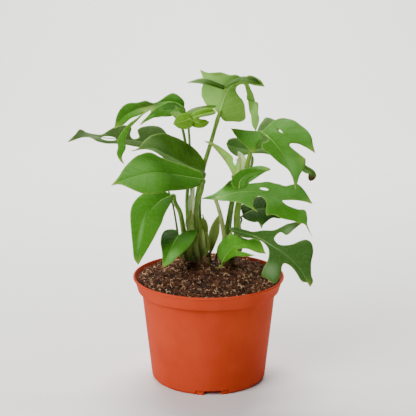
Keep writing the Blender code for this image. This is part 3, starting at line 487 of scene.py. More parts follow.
# How each blade looks: its tint, how far its margin waves in millimetres, a random seed, the
# painted light and shade of its left and right halves (-1 is darkest and 1 palest), and patches of
# painted shadow and painted light, each as (along, out to the right, half length, half width, tone).
BLADE_LOOKS = {
    "left_main": ("fresh", 0.7, 1, 0.0, 0.1, [(22, 26, 30, 15, -0.5), (5, -6, 22, 12, -0.2)]),
    "left_upper": ("moss", 0.5, 2, 0.55, 0.2, [(22, 18, 24, 14, -0.6), (70, 6, 20, 10, 0.3)]),
    "left_hanging": ("fresh", 0.5, 3, -0.1, 0.05, [(10, 8, 16, 12, -0.5), (52, 2, 24, 2, 0.8)]),
    "left_heart": ("fresh", 0.5, 4, 0.15, -0.1, [(8, 12, 16, 12, -1.3), (28, -4, 12, 8, 0.5)]),
    "left_split": ("fresh", 0.7, 5, 0.0, -0.3, [(12, 6, 10, 6, 0.6), (40, 0, 14, 5, -0.9)]),
    "left_young": ("young", 1.0, 6, -0.8, -0.8, []),
    "left_far": ("dusky", 0.6, 7, 0.1, 0.1, [(78, 0, 16, 8, 0.7)]),
    "top": (
        "fresh", 0.5, 8, 0.1, 0.1,
        [(14, 24, 24, 20, 2.4), (8, -12, 16, 14, -0.15), (36, 30, 7, 12, -1.4),
            (10, -42, 28, 10, 2.0), (32, -12, 8, 10, -0.6)],
    ),
    "right_upper": ("fresh", 0.7, 9, 0.25, 0.1, [(18, 8, 14, 14, -0.3), (50, 0, 14, 10, 0.3)]),
    "right_middle": (
        "fresh", 0.8, 10, 0.4, 0.4,
        [(4, 0, 19, 10, 1.6), (30, -12, 7, 7, -1.6), (88, 22, 22, 10, -0.5)],
    ),
    "right_lower": (
        "cool", 0.9, 11, 0.0, 0.0,
        [(8, 0, 26, 12, -0.5), (56, -24, 12, 8, 1.0), (64, 22, 12, 9, 0.8), (50, 0, 40, 3, 0.3)],
    ),
    "front_right": ("bright", 0.6, 12, 0.3, 0.0, [(34, -8, 14, 8, -0.3)]),
    "right_rear": ("moss", 0.8, 13, 0.5, 0.6, [(90, 0, 12, 8, -0.4)]),
    "rear_right": ("deep", 0.8, 14, -0.8, -0.7, [(6, 25, 9, 8, 2.0)]),
    "shoot": ("bud", 0.3, 15, 0.5, 0.0, []),
    "shoot_tip": ("pale_bud", 0.3, 16, 0.0, 0.0, []),
    "crown_upright": ("olive", 0.2, 17, 0.7, -0.1, []),
    "crown_round": ("olive", 0.2, 18, 0.0, 0.3, []),
    "crown_front": ("olive", 0.2, 19, 0.2, 0.7, []),
    "crown_sheath": ("pale_bud", 0.3, 20, -0.8, -0.4, []),
    "top_fold": ("moss", 0.3, 21, 0.0, 0.4, [(30, 0, 14, 8, 0.6)]),
    "top_crest": ("moss", 0.3, 22, 0.4, -0.3, [(8, 0, 14, 8, 0.7)]),
    "split_front": ("fresh", 0.3, 23, 0.1, 0.3, [(14, 0, 14, 6, 0.4)]),
    "young_left": ("young", 0.8, 24, -0.5, -0.2, []),
    "young_right": ("young", 0.6, 25, -0.1, -0.5, []),
    "young_low": ("young", 0.8, 26, -0.2, 0.1, []),
    "young_spike": ("fresh", 0.3, 27, -0.2, -0.3, []),
    "middle_lobe": ("fresh", 0.4, 28, 0.1, 0.2, []),
    "sheath_pale": ("olive", 0.2, 31, 0.5, 1.0, [(26, 0, 6, 6, -0.6)]),
    "sheath_round": ("olive", 0.2, 32, 0.2, 0.3, []),
    "sheath_inner": ("olive", 0.2, 33, -0.2, 0.2, []),
    "sheath_left": ("olive", 0.2, 34, -0.6, -0.3, [(2, 0, 9, 8, -0.5)]),
    "sheath_low": ("olive", 0.2, 35, 0, -0.5, [(2, 0, 7, 8, -0.8)]),
    "sheath_stout": ("olive", 0.2, 36, 0.4, 0.6, [(2, 0, 5, 8, 0.8)]),
    "sheath_right": ("olive", 0.2, 37, 0.5, 0.0, []),
}

# Tips that have dried brown: how far along the blade they start.
DRY_FROM = {"right_rear": 98}
NEVER_DRY = 1000

YOUNG_TINTS = ("young", "bud", "pale_bud")

# Tints: upper side, underside, vein, and how much paler the tips and margins are.
TINTS = {
    "fresh": ((0.050, 0.185, 0.008), (0.190, 0.380, 0.055), (0.12, 0.30, 0.035), 0.5),
    "bright": ((0.075, 0.260, 0.012), (0.220, 0.430, 0.060), (0.17, 0.40, 0.04), 0.5),
    "moss": ((0.048, 0.125, 0.009), (0.130, 0.270, 0.045), (0.12, 0.23, 0.04), 0.3),
    # Painted shade: deep and dusky are darker copies of the leaf green for leaves that sit in shade
    # behind the others.
    "deep": ((0.032, 0.105, 0.007), (0.120, 0.260, 0.040), (0.09, 0.20, 0.03), 0.3),
    "dusky": ((0.034, 0.078, 0.010), (0.090, 0.160, 0.040), (0.07, 0.13, 0.03), 0.4),
    "cool": ((0.046, 0.120, 0.018), (0.130, 0.250, 0.060), (0.16, 0.30, 0.08), 0.4),
    "olive": ((0.160, 0.225, 0.040), (0.200, 0.280, 0.070), (0.26, 0.34, 0.09), 0.4),
    "young": ((0.140, 0.330, 0.016), (0.220, 0.450, 0.050), (0.25, 0.50, 0.05), 0.4),
    "bud": ((0.500, 0.660, 0.170), (0.560, 0.720, 0.240), (0.62, 0.76, 0.24), 0.3),
    # Painted light: pale_bud is made paler than the bud itself, to stand in for light shining through
    # it.
    "pale_bud": ((0.850, 0.930, 0.600), (0.880, 0.940, 0.640), (0.88, 0.94, 0.60), 0.2),
    "blush": ((0.420, 0.360, 0.150), (0.420, 0.360, 0.180), (0.50, 0.44, 0.22), 0.2),
}

# How each petiole looks: its tint, how stout it is, and how much its foot swells into a sheath.
PETIOLE_LOOKS = {
    "left_main": ("lime", 1.5, 0.9), "left_upper": ("grass", 1.2, 0.7),
    "left_hanging": ("lime", 1.8, 0.7), "left_heart": ("olive", 1.2, 0.5),
    "left_split": ("grass", 1.35, 0.6), "left_young": ("lime", 1.35, 0.5),
    "left_far": ("olive", 1.1, 0.4), "top": ("lime", 1.6, 0.9),
    "right_upper": ("lime", 1.6, 0.5), "right_middle": ("blush", 1.7, 0.5),
    "right_lower": ("olive", 1.2, 0.4), "front_right": ("lime", 1.1, 0.3),
    "right_rear": ("lime", 1.5, 0.4), "rear_right": ("olive", 1.1, 0.4),
    "shoot": ("grass", 1.5, 0.6), "shoot_tip": ("lime", 1.1, 0.4),
    "crown_upright": ("olive", 1.3, 0.6), "crown_round": ("olive", 1.3, 0.6),
    "crown_front": ("olive", 1.3, 0.6), "crown_sheath": ("lime", 1.2, 0.5),
}
PETIOLE_TINTS = {
    "lime": ((0.170, 0.340, 0.020), (0.28, 0.44, 0.06)),
    "grass": ((0.105, 0.240, 0.014), (0.22, 0.36, 0.05)),
    "olive": ((0.075, 0.135, 0.016), (0.16, 0.22, 0.05)),
    "blush": ((0.380, 0.480, 0.130), (0.60, 0.52, 0.32)),
}

# ---------------------------------------------------------------- curves and placing


def unit(vectors):
    return vectors / np.maximum(np.linalg.norm(vectors, axis=-1, keepdims=True), 1e-12)


def smooth_curve(points, per_span):
    """A Catmull-Rom curve through the points."""
    points = [np.asarray(point, float) for point in points]
    points = [2 * points[0] - points[1]] + points + [2 * points[-1] - points[-2]]
    curve = []
    for first, second, third, fourth in zip(points, points[1:], points[2:], points[3:]):
        for step in range(per_span):
            t = step / per_span
            straight = (third - first) * t
            bend = (2 * first - 5 * second + 4 * third - fourth) * t**2
            twist = (-first + 3 * second - 3 * third + fourth) * t**3
            curve.append(second + 0.5 * (straight + bend + twist))
    curve.append(points[-2])
    return np.array(curve)


def even_points(curve, count):
    """The curve at evenly spaced points, and its length."""
    steps = np.linalg.norm(np.diff(curve, axis=0), axis=1)
    reached = np.concatenate([[0], np.cumsum(steps)])
    wanted = np.linspace(0, reached[-1], count)
    columns = [np.interp(wanted, reached, curve[:, k]) for k in range(curve.shape[1])]
    return np.stack(columns, 1), reached[-1]


def soil_height(radius):
    """The soil's surface: highest at the middle, level at the wall."""
    share = min(1.0, radius / (RIM_RADIUS - SOIL_LEVEL_FROM))
    return SOIL_EDGE + SOIL_MOUND * 0.5 * (1 + math.cos(math.pi * share))


def place(points):
    """Drawn millimetres to metres, with the crown standing on the soil."""
    crown = np.array([0, CROWN_DRAWN[1] * MM, soil_height(CROWN_DRAWN[1] * MM)])
    return crown + (np.asarray(points, float) - CROWN_DRAWN) * MM


def noise_at(points, scale, seed):
    """Smooth noise, about -1 to 1, at each point."""
    shift = Vector((seed * 7.3, seed * 3.1, seed * 5.7))
    return np.array([noise.noise(Vector(point) * scale + shift) for point in points])


# ---------------------------------------------------------------- node graphs


class Value:
    """One output of a node. Arithmetic on it adds Math nodes."""

    def __init__(self, graph, socket):
        self.graph, self.socket = graph, socket

    def math(self, operation, *others):
        return self.graph.math(operation, self, *others)

    def __add__(self, other):
        return self.math("ADD", other)

    def __sub__(self, other):
        return self.math("SUBTRACT", other)

    def __rsub__(self, other):
        return self.graph.math("SUBTRACT", other, self)

    def __mul__(self, other):
        return self.math("MULTIPLY", other)

    def __truediv__(self, other):
        return self.math("DIVIDE", other)

    def __pow__(self, other):
        return self.math("POWER", other)

    __radd__ = __add__
    __rmul__ = __mul__

    def smooth(self, low, high, start=0.0, end=1.0):
        """Smoothly from start to end as this goes from low to high."""
        settings = {"interpolation_type": "SMOOTHSTEP"}
        values = {"Value": self, 1: low, 2: high, 3: start, 4: end}
        return self.graph.node("ShaderNodeMapRange", settings, values)


class Graph:
    """A node tree, built one node at a time."""

    def __init__(self, tree):
        self.tree = tree
        tree.nodes.clear()

    def node(self, kind, settings=None, values=None, output=0):
        made = self.tree.nodes.new(kind)
        for key, value in (settings or {}).items():
            if key == "stops":
                self.set_stops(made.color_ramp, value)
            else:
                setattr(made, key, value)
        for key, value in (values or {}).items():
            self.feed(made.inputs[key], value)
        return Value(self, made.outputs[output]) if len(made.outputs) else made

    def feed(self, socket, value):
        if isinstance(value, Value):
            self.tree.links.new(value.socket, socket)
        else:
            socket.default_value = value

    def set_stops(self, ramp, stops):
        while len(ramp.elements) < len(stops):
            ramp.elements.new(0.5)
        for element, (position, colour) in zip(ramp.elements, stops):
            element.position = position
            element.color = (*colour, 1)

    def math(self, operation, *terms):
        values = dict(enumerate(terms))
        return self.node("ShaderNodeMath", {"operation": operation}, values)

    def mix(self, share, first, second):
        """A colour between two."""
        first, second = (
            (*colour, 1) if isinstance(colour, tuple) else colour for colour in (first, second)
        )
        settings = {"data_type": "RGBA"}
        return self.node("ShaderNodeMix", settings, {0: share, 6: first, 7: second}, 2)

    def noise(self, position, scale, detail=3.0, roughness=0.5, distortion=0.0):
        values = {
            "Vector": position, "Scale": scale, "Detail": detail, "Roughness": roughness,
            "Distortion": distortion,
        }
        return self.node("ShaderNodeTexNoise", {}, values)

    def attribute(self, name, output="Fac"):
        return self.node("ShaderNodeAttribute", {"attribute_name": name}, output=output)

    def object_position(self):
        return self.node("ShaderNodeTexCoord", output="Object")

    def part(self, vector, output):
        return self.node("ShaderNodeSeparateXYZ", {}, {0: vector}, output)


def new_material(name):
    made = bpy.data.materials.new(name)
    made.use_nodes = True
    return made, Graph(made.node_tree)


def finish_material(graph, base, roughness, constants=None, height=None, strength=0.3, step=0.1):
    """The Principled shader, with the relief as a Bump node, step in millimetres."""
    values = {"Base Color": base, "Roughness": roughness, **(constants or {})}
    if height is not None:
        relief = {"Strength": strength, "Distance": step * MM, "Height": height}
        values["Normal"] = graph.node("ShaderNodeBump", {}, relief)
    shader = graph.node("ShaderNodeBsdfPrincipled", {}, values)
    graph.node("ShaderNodeOutputMaterial", {}, {"Surface": shader})


# ---------------------------------------------------------------- finishes


def pot_finish(settings):
    """Matte moulded plastic: flow marks, grain, dust, splashes, painted shade inside and a painted
    shadow line under the ledge.
    """
    made, graph = new_material("terracotta_plastic")
    position = graph.object_position()
    height = graph.part(position, "Z")
    cloud = graph.noise(position, 22, 4)
    flow = graph.node("ShaderNodeMapping", {}, {"Vector": position, "Scale": (60, 60, 7)})
    streak = graph.noise(flow, 1.6, 3, 0.6)
    base = graph.mix(cloud.smooth(0.35, 0.7), tuple(settings.colour), tuple(settings.deep_colour))
    base = graph.mix(streak.smooth(0.45, 0.75) * 0.10, base, (0.60, 0.09, 0.025))
    dust = graph.noise(position, 240, 3, 0.6).smooth(0.62, 0.74)
    base = graph.mix(dust * 0.06, base, (0.60, 0.25, 0.13))
    scuff = graph.noise(flow, 9, 2, 0.7).smooth(0.66, 0.72) * height.smooth(0.03, 0.0)
    base = graph.mix(scuff * 0.25, base, (0.62, 0.26, 0.14))
    splash = graph.noise(position, 420, 3, 0.7).smooth(0.60, 0.68)
    splash = splash * height.smooth(POT_HEIGHT - 9 * MM, POT_HEIGHT - 2 * MM)
    base = graph.mix(splash * 0.25, base, (0.10, 0.035, 0.018))
    # Painted shade: the inside of the wall, from the ledge up to the lip, is darkened as if it lay in
    # shade.
    across = graph.part(position, "X") ** 2 + graph.part(position, "Y") ** 2
    ledge = POT_HEIGHT - settings.collar_height
    rise = (height - ledge) / settings.collar_height
    middle = rise * 5.1 * MM + (RIM_RADIUS - 6.6 * MM)
    inner = (middle - across ** 0.5).smooth(-0.3 * MM, 0.3 * MM) * rise.smooth(0.0, 0.04)
    base = graph.mix(inner * 0.9, base, (0.11, 0.014, 0.006))
    # Painted shadow: a dark line just under the ledge, where the collar's undercut lies in shade.
    ledge_shadow_line = height.smooth(ledge - 1.6 * MM, ledge - 0.4 * MM)
    ledge_shadow_line = ledge_shadow_line * height.smooth(ledge + 1.6 * MM, ledge + 0.4 * MM)
    ledge_shadow_line = ledge_shadow_line * (across ** 0.5).smooth(RIM_RADIUS - 5.2 * MM, RIM_RADIUS - 5.6 * MM)
    base = graph.mix(ledge_shadow_line * 0.6, base, (0.16, 0.016, 0.006))
    rough = settings.roughness + cloud * 0.12 + dust * 0.08
    grain = graph.noise(position, 1500, 2)
    finish_material(
        graph, base, rough, {"Specular IOR Level": 0.025}, grain * 0.5 + streak * 1.6, 0.2, 0.2
    )
    return made


def soil_finish(name, dark, brown, tan, tan_share):
    """Damp peat: dark clods, brown crumb and a scatter of tan fibre dust."""
    made, graph = new_material(name)
    position = graph.object_position()
    clod = graph.noise(position, 160, 6, 0.65)
    crumb = graph.noise(position, 900, 5, 0.7)
    fleck = graph.node("ShaderNodeTexVoronoi", {}, {"Vector": position, "Scale": 1100})
    hue = graph.noise(position, 420, 2)
    base = graph.mix(clod.smooth(0.35, 0.65), dark, brown)
    base = graph.mix(crumb.smooth(0.60, 0.72) * tan_share, base, tan)
    base = graph.mix(hue.smooth(0.5, 0.7) * 0.5, base, (0.085, 0.030, 0.022))
    relief = crumb * 1.2 + clod * 1.5 + fleck * 0.8
    rough = 0.78 + crumb * 0.2
    finish_material(graph, base, rough, {"Specular IOR Level": 0.25}, relief, 0.9, 1.2)
    return made


def plain_finish(name, pale, dark, roughness, scale, relief=0.4):
    """A small dry thing: two colours mixed in grain."""
    made, graph = new_material(name)
    position = graph.object_position()
    grain = graph.noise(position, scale, 4, 0.6)
    base = graph.mix(grain.smooth(0.3, 0.7), dark, pale)
    rough = roughness + grain * 0.15
    finish_material(graph, base, rough, {"Specular IOR Level": 0.3}, grain, relief, 0.3)
    return made


def vein_masks(graph):
    """(midrib, side veins, net of small veins) from the blade's own coordinates, in centimetres."""
    where = graph.attribute("blade_place", "Vector")
    along, out = graph.part(where, "X"), graph.part(where, "Y")
    reach = out.math("ABSOLUTE")
    sway = graph.noise(where, 1.1, 2) - 0.5
    midrib = reach.smooth(0.035, 0.10, 1, 0)
    order = (along - reach * 0.85 + reach * reach * 0.10 + sway * 0.25) / 0.88
    side = (order.math("FRACT") - 0.5).math("ABSOLUTE")
    side_veins = side.smooth(0.02, 0.07, 1, 0) * reach.smooth(2.6, 1.2)
    fine = (order * 3).math("FRACT") - 0.5
    fine_veins = fine.math("ABSOLUTE").smooth(0.03, 0.14, 1, 0)
    net = graph.node(
        "ShaderNodeTexVoronoi", {"feature": "DISTANCE_TO_EDGE"}, {"Vector": where, "Scale": 7.0}
    )
    return midrib, side_veins, fine_veins * 0.5 + net.smooth(0.0, 0.10, 1, 0) * 0.5


def leaf_finish(name, tint, settings, under):
    """A leaf's upper side or underside: veins, mottling, pale margins, painted light and shade, and a
    waxy or matte skin.
    """
    upper, lower, vein, pale = TINTS[tint]
    colour = lower if under else upper
    made, graph = new_material(name)
    position = graph.object_position()
    midrib, side_veins, net = vein_masks(graph)
    edge = graph.attribute("blade_edge")
    tip = graph.attribute("blade_tip")
    mottle = graph.noise(position, 55, 4, 0.6)
    speck = graph.noise(position, 420, 3, 0.6)
    # Painted light and shade: the stored tone darkens the leaf where it lies in shade and pales it
    # where it catches light or is backlit; the mottle adds the leaf's own uneven tone.
    painted_light_tone = graph.attribute("blade_tone")
    painted_light_tone = painted_light_tone + (mottle - 0.5) * 0.5
    darkest = tuple(part * 0.35 for part in colour)
    palest = tuple(min(0.93, part * 1.7 + 0.08) for part in colour)
    vein = palest if under else vein
    base = graph.mix(painted_light_tone.smooth(0.0, 1.0), colour, palest)
    base = graph.mix(painted_light_tone.smooth(0.0, -1.0), base, darkest)
    base = graph.mix(speck.smooth(0.45, 0.7) * 0.15, base, palest)
    base = graph.mix(net * (0.12 if under else 0.05), base, vein)
    base = graph.mix(side_veins * (0.30 if under else 0.10), base, vein)
    base = graph.mix(midrib * (0.75 if under else 0.30), base, vein)
    yellow = (0.34, 0.46, 0.08) if tint != "pale_bud" else (0.75, 0.84, 0.50)
    base = graph.mix(tip * pale, base, yellow)
    base = graph.mix(edge.smooth(0.90, 1.0) * pale * 0.55, base, yellow)
    dry = graph.attribute("blade_dry")
    base = graph.mix(dry.smooth(0.2, 0.8) * 0.9, base, (0.11, 0.045, 0.020))
    hurt = graph.noise(position, 75, 2).smooth(0.66, 0.72) * edge.smooth(0.93, 1.0)
    base = graph.mix(hurt * 0.7, base, (0.16, 0.10, 0.035))
    relief = side_veins * (1.0 if under else -0.8) + net * (0.35 if under else -0.25)
    relief = relief + midrib * (0.5 if under else -1.0) + speck * 0.12
    rough = (0.62 if under else settings.gloss_roughness) + mottle * 0.10 + net * 0.05
    constants = {
        "Subsurface Weight": 0.8 if "bud" in tint else settings.glow,
        "Subsurface Radius": (0.35, 1.0, 0.15),
        "Subsurface Scale": 1.2 * MM,
        "Specular IOR Level": 0.03 if under else 0.045,
    }
    finish_material(graph, base, rough, constants, relief, 0.6, 0.35)
    return made


def stalk_finish(name, skin, pale):
    """A petiole: fine lengthwise lines, paler at the foot, brownish flecks."""
    made, graph = new_material(name)
    position = graph.object_position()
    along = graph.attribute("stalk_along")
    long_lines = graph.node("ShaderNodeMapping", {}, {"Vector": position, "Scale": (1, 1, 0.06)})
    lines = graph.noise(long_lines, 1500, 3, 0.6)
    cloud = graph.noise(position, 60, 3)
    dark = tuple(part * 0.6 for part in skin)
    base = graph.mix(cloud.smooth(0.3, 0.7), dark, skin)
    base = graph.mix(lines.smooth(0.45, 0.7) * 0.5, base, pale)
    base = graph.mix(along.smooth(0.35, 0.0) * 0.5, base, pale)
    fleck = graph.noise(position, 700, 2).smooth(0.64, 0.70)
    base = graph.mix(fleck * 0.35, base, (0.12, 0.07, 0.03))
    constants = {
        "Subsurface Weight": 0.15,
        "Subsurface Radius": (0.4, 1.0, 0.2),
        "Subsurface Scale": 0.8 * MM,
    }
    finish_material(graph, base, 0.42 + cloud * 0.15, constants, lines, 0.5, 0.15)
    return made


# ---------------------------------------------------------------- objects


def link_mesh(name, mesh, materials):
    made = bpy.data.objects.new(name, mesh)
    for finish in materials:
        mesh.materials.append(finish)
    bpy.context.scene.collection.objects.link(made)
    return made


def mesh_from(name, points, faces):
    mesh = bpy.data.meshes.new(name)
    mesh.from_pydata(np.asarray(points).tolist(), [], [list(face) for face in faces])
    mesh.validate()
    return mesh


def settle_modifiers(item):
    """Swaps the object's mesh for its evaluated one, and removes its modifiers."""
    bpy.context.view_layer.update()
    evaluated = item.evaluated_get(bpy.context.evaluated_depsgraph_get())
    mesh = bpy.data.meshes.new_from_object(evaluated)
    item.modifiers.clear()
    item.data = mesh


def store(mesh, name, kind, values):
    attribute = mesh.attributes.new(name, kind, "POINT")
    field = "vector" if kind == "FLOAT_VECTOR" else "value"
    attribute.data.foreach_set(field, np.asarray(values, np.float32).ravel())


def hand_over(item, slot_name, *nodes):
    """Puts the piece on the frame, in place of the nodes that it stands for."""
    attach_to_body(item, "root")
    if nodes:
        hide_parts(*nodes)


def tube_points(path, radii, sides):
    """Points and faces of a capped tube along a path."""
    path = np.asarray(path)
    ahead = unit(np.gradient(path, axis=0))
    across = np.cross(ahead[0], (0.3, 0.1, 1.0))
    rings, faces = [], []
    for point, way, radius in zip(path, ahead, radii):
        across = unit(across - way * (across @ way))
        up = np.cross(way, across)
        turns = np.linspace(0, math.tau, sides, endpoint=False)
        ring = np.outer(np.cos(turns), across) + np.outer(np.sin(turns), up)
        rings.append(point + ring * radius)
    for ring in range(len(path) - 1):
        for side in range(sides):
            here, beside = ring * sides + side, ring * sides + (side + 1) % sides
            faces.append((here, beside, beside + sides, here + sides))
    faces.append(tuple(range(sides))[::-1])
    last = (len(path) - 1) * sides
    faces.append(tuple(range(last, last + sides)))
    return np.concatenate(rings), faces


# ---------------------------------------------------------------- pot


def arc(centre, radius, start, end, count):
    angles = np.radians(np.linspace(start, end, count))
    return [(centre[0] + radius * math.cos(a), centre[1] + radius * math.sin(a)) for a in angles]


def pot_profile(settings):
    """(radius, height) from the lip down the outside to the axis, and back up the inside."""
    lip, soft = settings.lip_height / 2, EDGE_SOFTNESS
    ledge = POT_HEIGHT - settings.collar_height
    collar_top = RIM_RADIUS - LIP_OVERHANG
    collar_foot = collar_top - COLLAR_TAPER
    wall_top = collar_foot - settings.collar_step
    foot, corner, wall = settings.foot_radius, FOOT_CORNER, settings.wall
    lean = (wall_top - foot) / ledge
    shape = arc((RIM_RADIUS - lip, POT_HEIGHT - lip), lip, 100, -90, 14)
    shape += [(collar_top, POT_HEIGHT - settings.lip_height - soft)]
    shape += [(collar_top - 1.7 * MM, POT_HEIGHT - settings.collar_height * 0.6)]
    shape += arc((collar_foot - soft * 0.4, ledge + soft * 1.2), soft, 0, -90, 5)
    shape += [(collar_foot - 1.2 * MM, ledge + 1.6 * MM), (wall_top + 0.4 * MM, ledge + 1.4 * MM)]
    shape += [(wall_top, ledge - soft)]
    shape += [(foot + lean * ledge * s, ledge * s) for s in (0.97, 0.75, 0.5, 0.25, 0.1)]
    shape += arc((foot - corner + 0.3 * MM, corner), corner, -3, -90, 9)
    shape += [(foot - 14 * MM, 0), (0, 0.0)]
    shape += [(0, FLOOR), (foot - wall - 3 * MM, FLOOR), (foot - wall + 0.5 * MM, FLOOR + 4 * MM)]
    shape += [(foot + lean * ledge * s - wall, ledge * s) for s in (0.3, 0.65, 1.0)]
    shape += [(RIM_RADIUS - settings.lip_height - 0.3 * MM, POT_HEIGHT - 1.2 * MM)]
    return shape


def spin(name, profile, steps, finish):
    """A closed profile turned about +Z."""
    work = bmesh.new()
    vertices = [work.verts.new((radius, 0, height)) for radius, height in profile]
    edges = [work.edges.new(pair) for pair in zip(vertices, vertices[1:] + vertices[:1])]
    bmesh.ops.spin(
        work, geom=vertices + edges, cent=(0, 0, 0), axis=(0, 0, 1), angle=math.tau, steps=steps
    )
    bmesh.ops.remove_doubles(work, verts=work.verts, dist=0.00001)
    flat = [face for face in work.faces if face.calc_area() < 1e-12]
    bmesh.ops.delete(work, geom=flat, context="FACES_ONLY")
    bmesh.ops.recalc_face_normals(work, faces=work.faces)
    mesh = bpy.data.meshes.new(name)
    work.to_mesh(mesh)
    work.free()
    return link_mesh(name, mesh, [finish])


def rounded_box(name, size, centre, turn, finish, soft=0.8 * MM):
    """A box with rounded edges, turned about the pot's axis by an angle."""
    work = bmesh.new()
    bmesh.ops.create_cube(work, size=1)
    bmesh.ops.scale(work, vec=size, verts=work.verts)
    bmesh.ops.bevel(
        work, geom=list(work.edges), offset=soft, segments=2, affect="EDGES", profile=0.5
    )
    bmesh.ops.translate(work, vec=centre, verts=work.verts)
    cosine, sine = math.cos(turn), math.sin(turn)
    for vertex in work.verts:
        x, y = vertex.co.x, vertex.co.y
        vertex.co.x, vertex.co.y = x * cosine - y * sine, x * sine + y * cosine
    mesh = bpy.data.meshes.new(name)
    work.to_mesh(mesh)
    work.free()
    return link_mesh(name, mesh, [finish])


def cut_or_join(item, other, operation):
    """Cuts the other object out of the item, or joins it, and removes it."""
    change = item.modifiers.new("change", "BOOLEAN")
    change.operation, change.object, change.solver = operation, other, "EXACT"
    settle_modifiers(item)
    bpy.data.objects.remove(other, do_unlink=True)


def make_pot(settings):
    finish = pot_finish(settings)
    pot = spin("nursery_pot", pot_profile(settings), settings.steps, finish)
    for index in range(settings.notches):
        turn = math.radians(settings.notch_turn) + math.tau * index / settings.notches
        cut_notch(pot, turn, settings.foot_radius, finish)
    pot.data.shade_smooth()
    pot.data.set_sharp_from_angle(angle=math.radians(38))
    hand_over(pot, "pot_plastic", "pot")


def cut_notch(pot, turn, foot, finish):
    """A drain notch under a block, a recess and a toe on each side of it, and its drain hole."""

    def change(name, operation, size, centre, angle, soft=0.8 * MM):
        cut_or_join(pot, rounded_box(name, size, centre, angle, finish, soft), operation)

    size = (NOTCH_WIDTH + 4 * MM, NOTCH_DEPTH + 2 * MM, NOTCH_HEIGHT + 1 * MM)
    centre = (0, -(foot - 0.8 * MM - size[1] / 2), 1 * MM + size[2] / 2)
    change("block", "UNION", size, centre, turn)
    for side in (-1, 1):
        size = (RECESS_WIDTH, CUT_MARGIN + RECESS_DEPTH, 2 * NOTCH_HEIGHT)
        centre = (0, -(foot + CUT_MARGIN - size[1] / 2), 0)
        aside = turn + side * (NOTCH_WIDTH / 2 + size[0] / 2) / foot
        change("recess", "DIFFERENCE", size, centre, aside)
        centre = (0, -(foot - 2.5 * MM), 2.25 * MM)
        aside = turn + side * (NOTCH_WIDTH / 2 + TOE_SIZE[0] / 2) / foot
        change("toe", "UNION", TOE_SIZE, centre, aside, 0.3 * MM)
    size = (NOTCH_WIDTH, NOTCH_DEPTH + CUT_MARGIN, 2 * NOTCH_HEIGHT)
    centre = (0, -(foot + CUT_MARGIN - size[1] / 2), 0)
    change("notch", "DIFFERENCE", size, centre, turn)
    size = (DRAIN_WIDTH, DRAIN_WIDTH, 8 * MM)
    centre = (0, -(foot - NOTCH_DEPTH / 2), NOTCH_HEIGHT)
    change("drain", "DIFFERENCE", size, centre, turn, DRAIN_WIDTH * 0.4)


# ---------------------------------------------------------------- soil


def soil_points(rings, spokes):
    """Points and faces of the soil's rough top."""
    points = [(0.0, 0.0)]
    for ring in range(1, rings + 1):
        radius = (SOIL_RADIUS + 0.1 * MM) * ring / rings
        for spoke in range(spokes):
            turn = math.tau * (spoke + 0.5 * (ring % 2)) / spokes
            points.append((radius * math.cos(turn), radius * math.sin(turn)))
    flat = np.array(points)
    radius = np.linalg.norm(flat, axis=1)
    level = np.array([soil_height(r) for r in radius])
    spots = np.column_stack([flat, np.zeros(len(flat))])
    rough = noise_at(spots, 55, 1) * 2.0 + noise_at(spots, 170, 2) * 1.6
    rough += noise_at(spots, 600, 3) * 0.6
    rough = np.clip(rough, -1.2, 3.2) * MM
    rough += REAR_RISE * np.clip(flat[:, 1] / SOIL_RADIUS, 0, 1)
    crown_gap = np.linalg.norm((flat - CROWN_MIDDLE) / CROWN_REACH, axis=1)
    level = level + SOIL_LIFT + rough + CROWN_MOUND * np.exp(-(crown_gap**2))
    faces = [(0, 1 + spoke, 1 + (spoke + 1) % spokes) for spoke in range(spokes)]
    for ring in range(rings - 1):
        for spoke in range(spokes):
            here, beside = 1 + ring * spokes + spoke, 1 + ring * spokes + (spoke + 1) % spokes
            faces.append((here, here + spokes, beside + spokes, beside))
    return np.column_stack([flat, level]), faces


def close_below(points, faces, spokes, level):
    """The same surface with a side and a flat underside, as one closed body."""
    count = len(points)
    first = count - spokes
    foot = points[first:] * (1, 1, 0) + (0, 0, level)
    faces = list(faces)
    for spoke in range(spokes):
        after = (spoke + 1) % spokes
        faces.append((first + after, first + spoke, count + spoke, count + after))
        faces.append((count + after, count + spoke, count + spokes))
    return np.concatenate([points, foot, [(0, 0, level)]]), faces


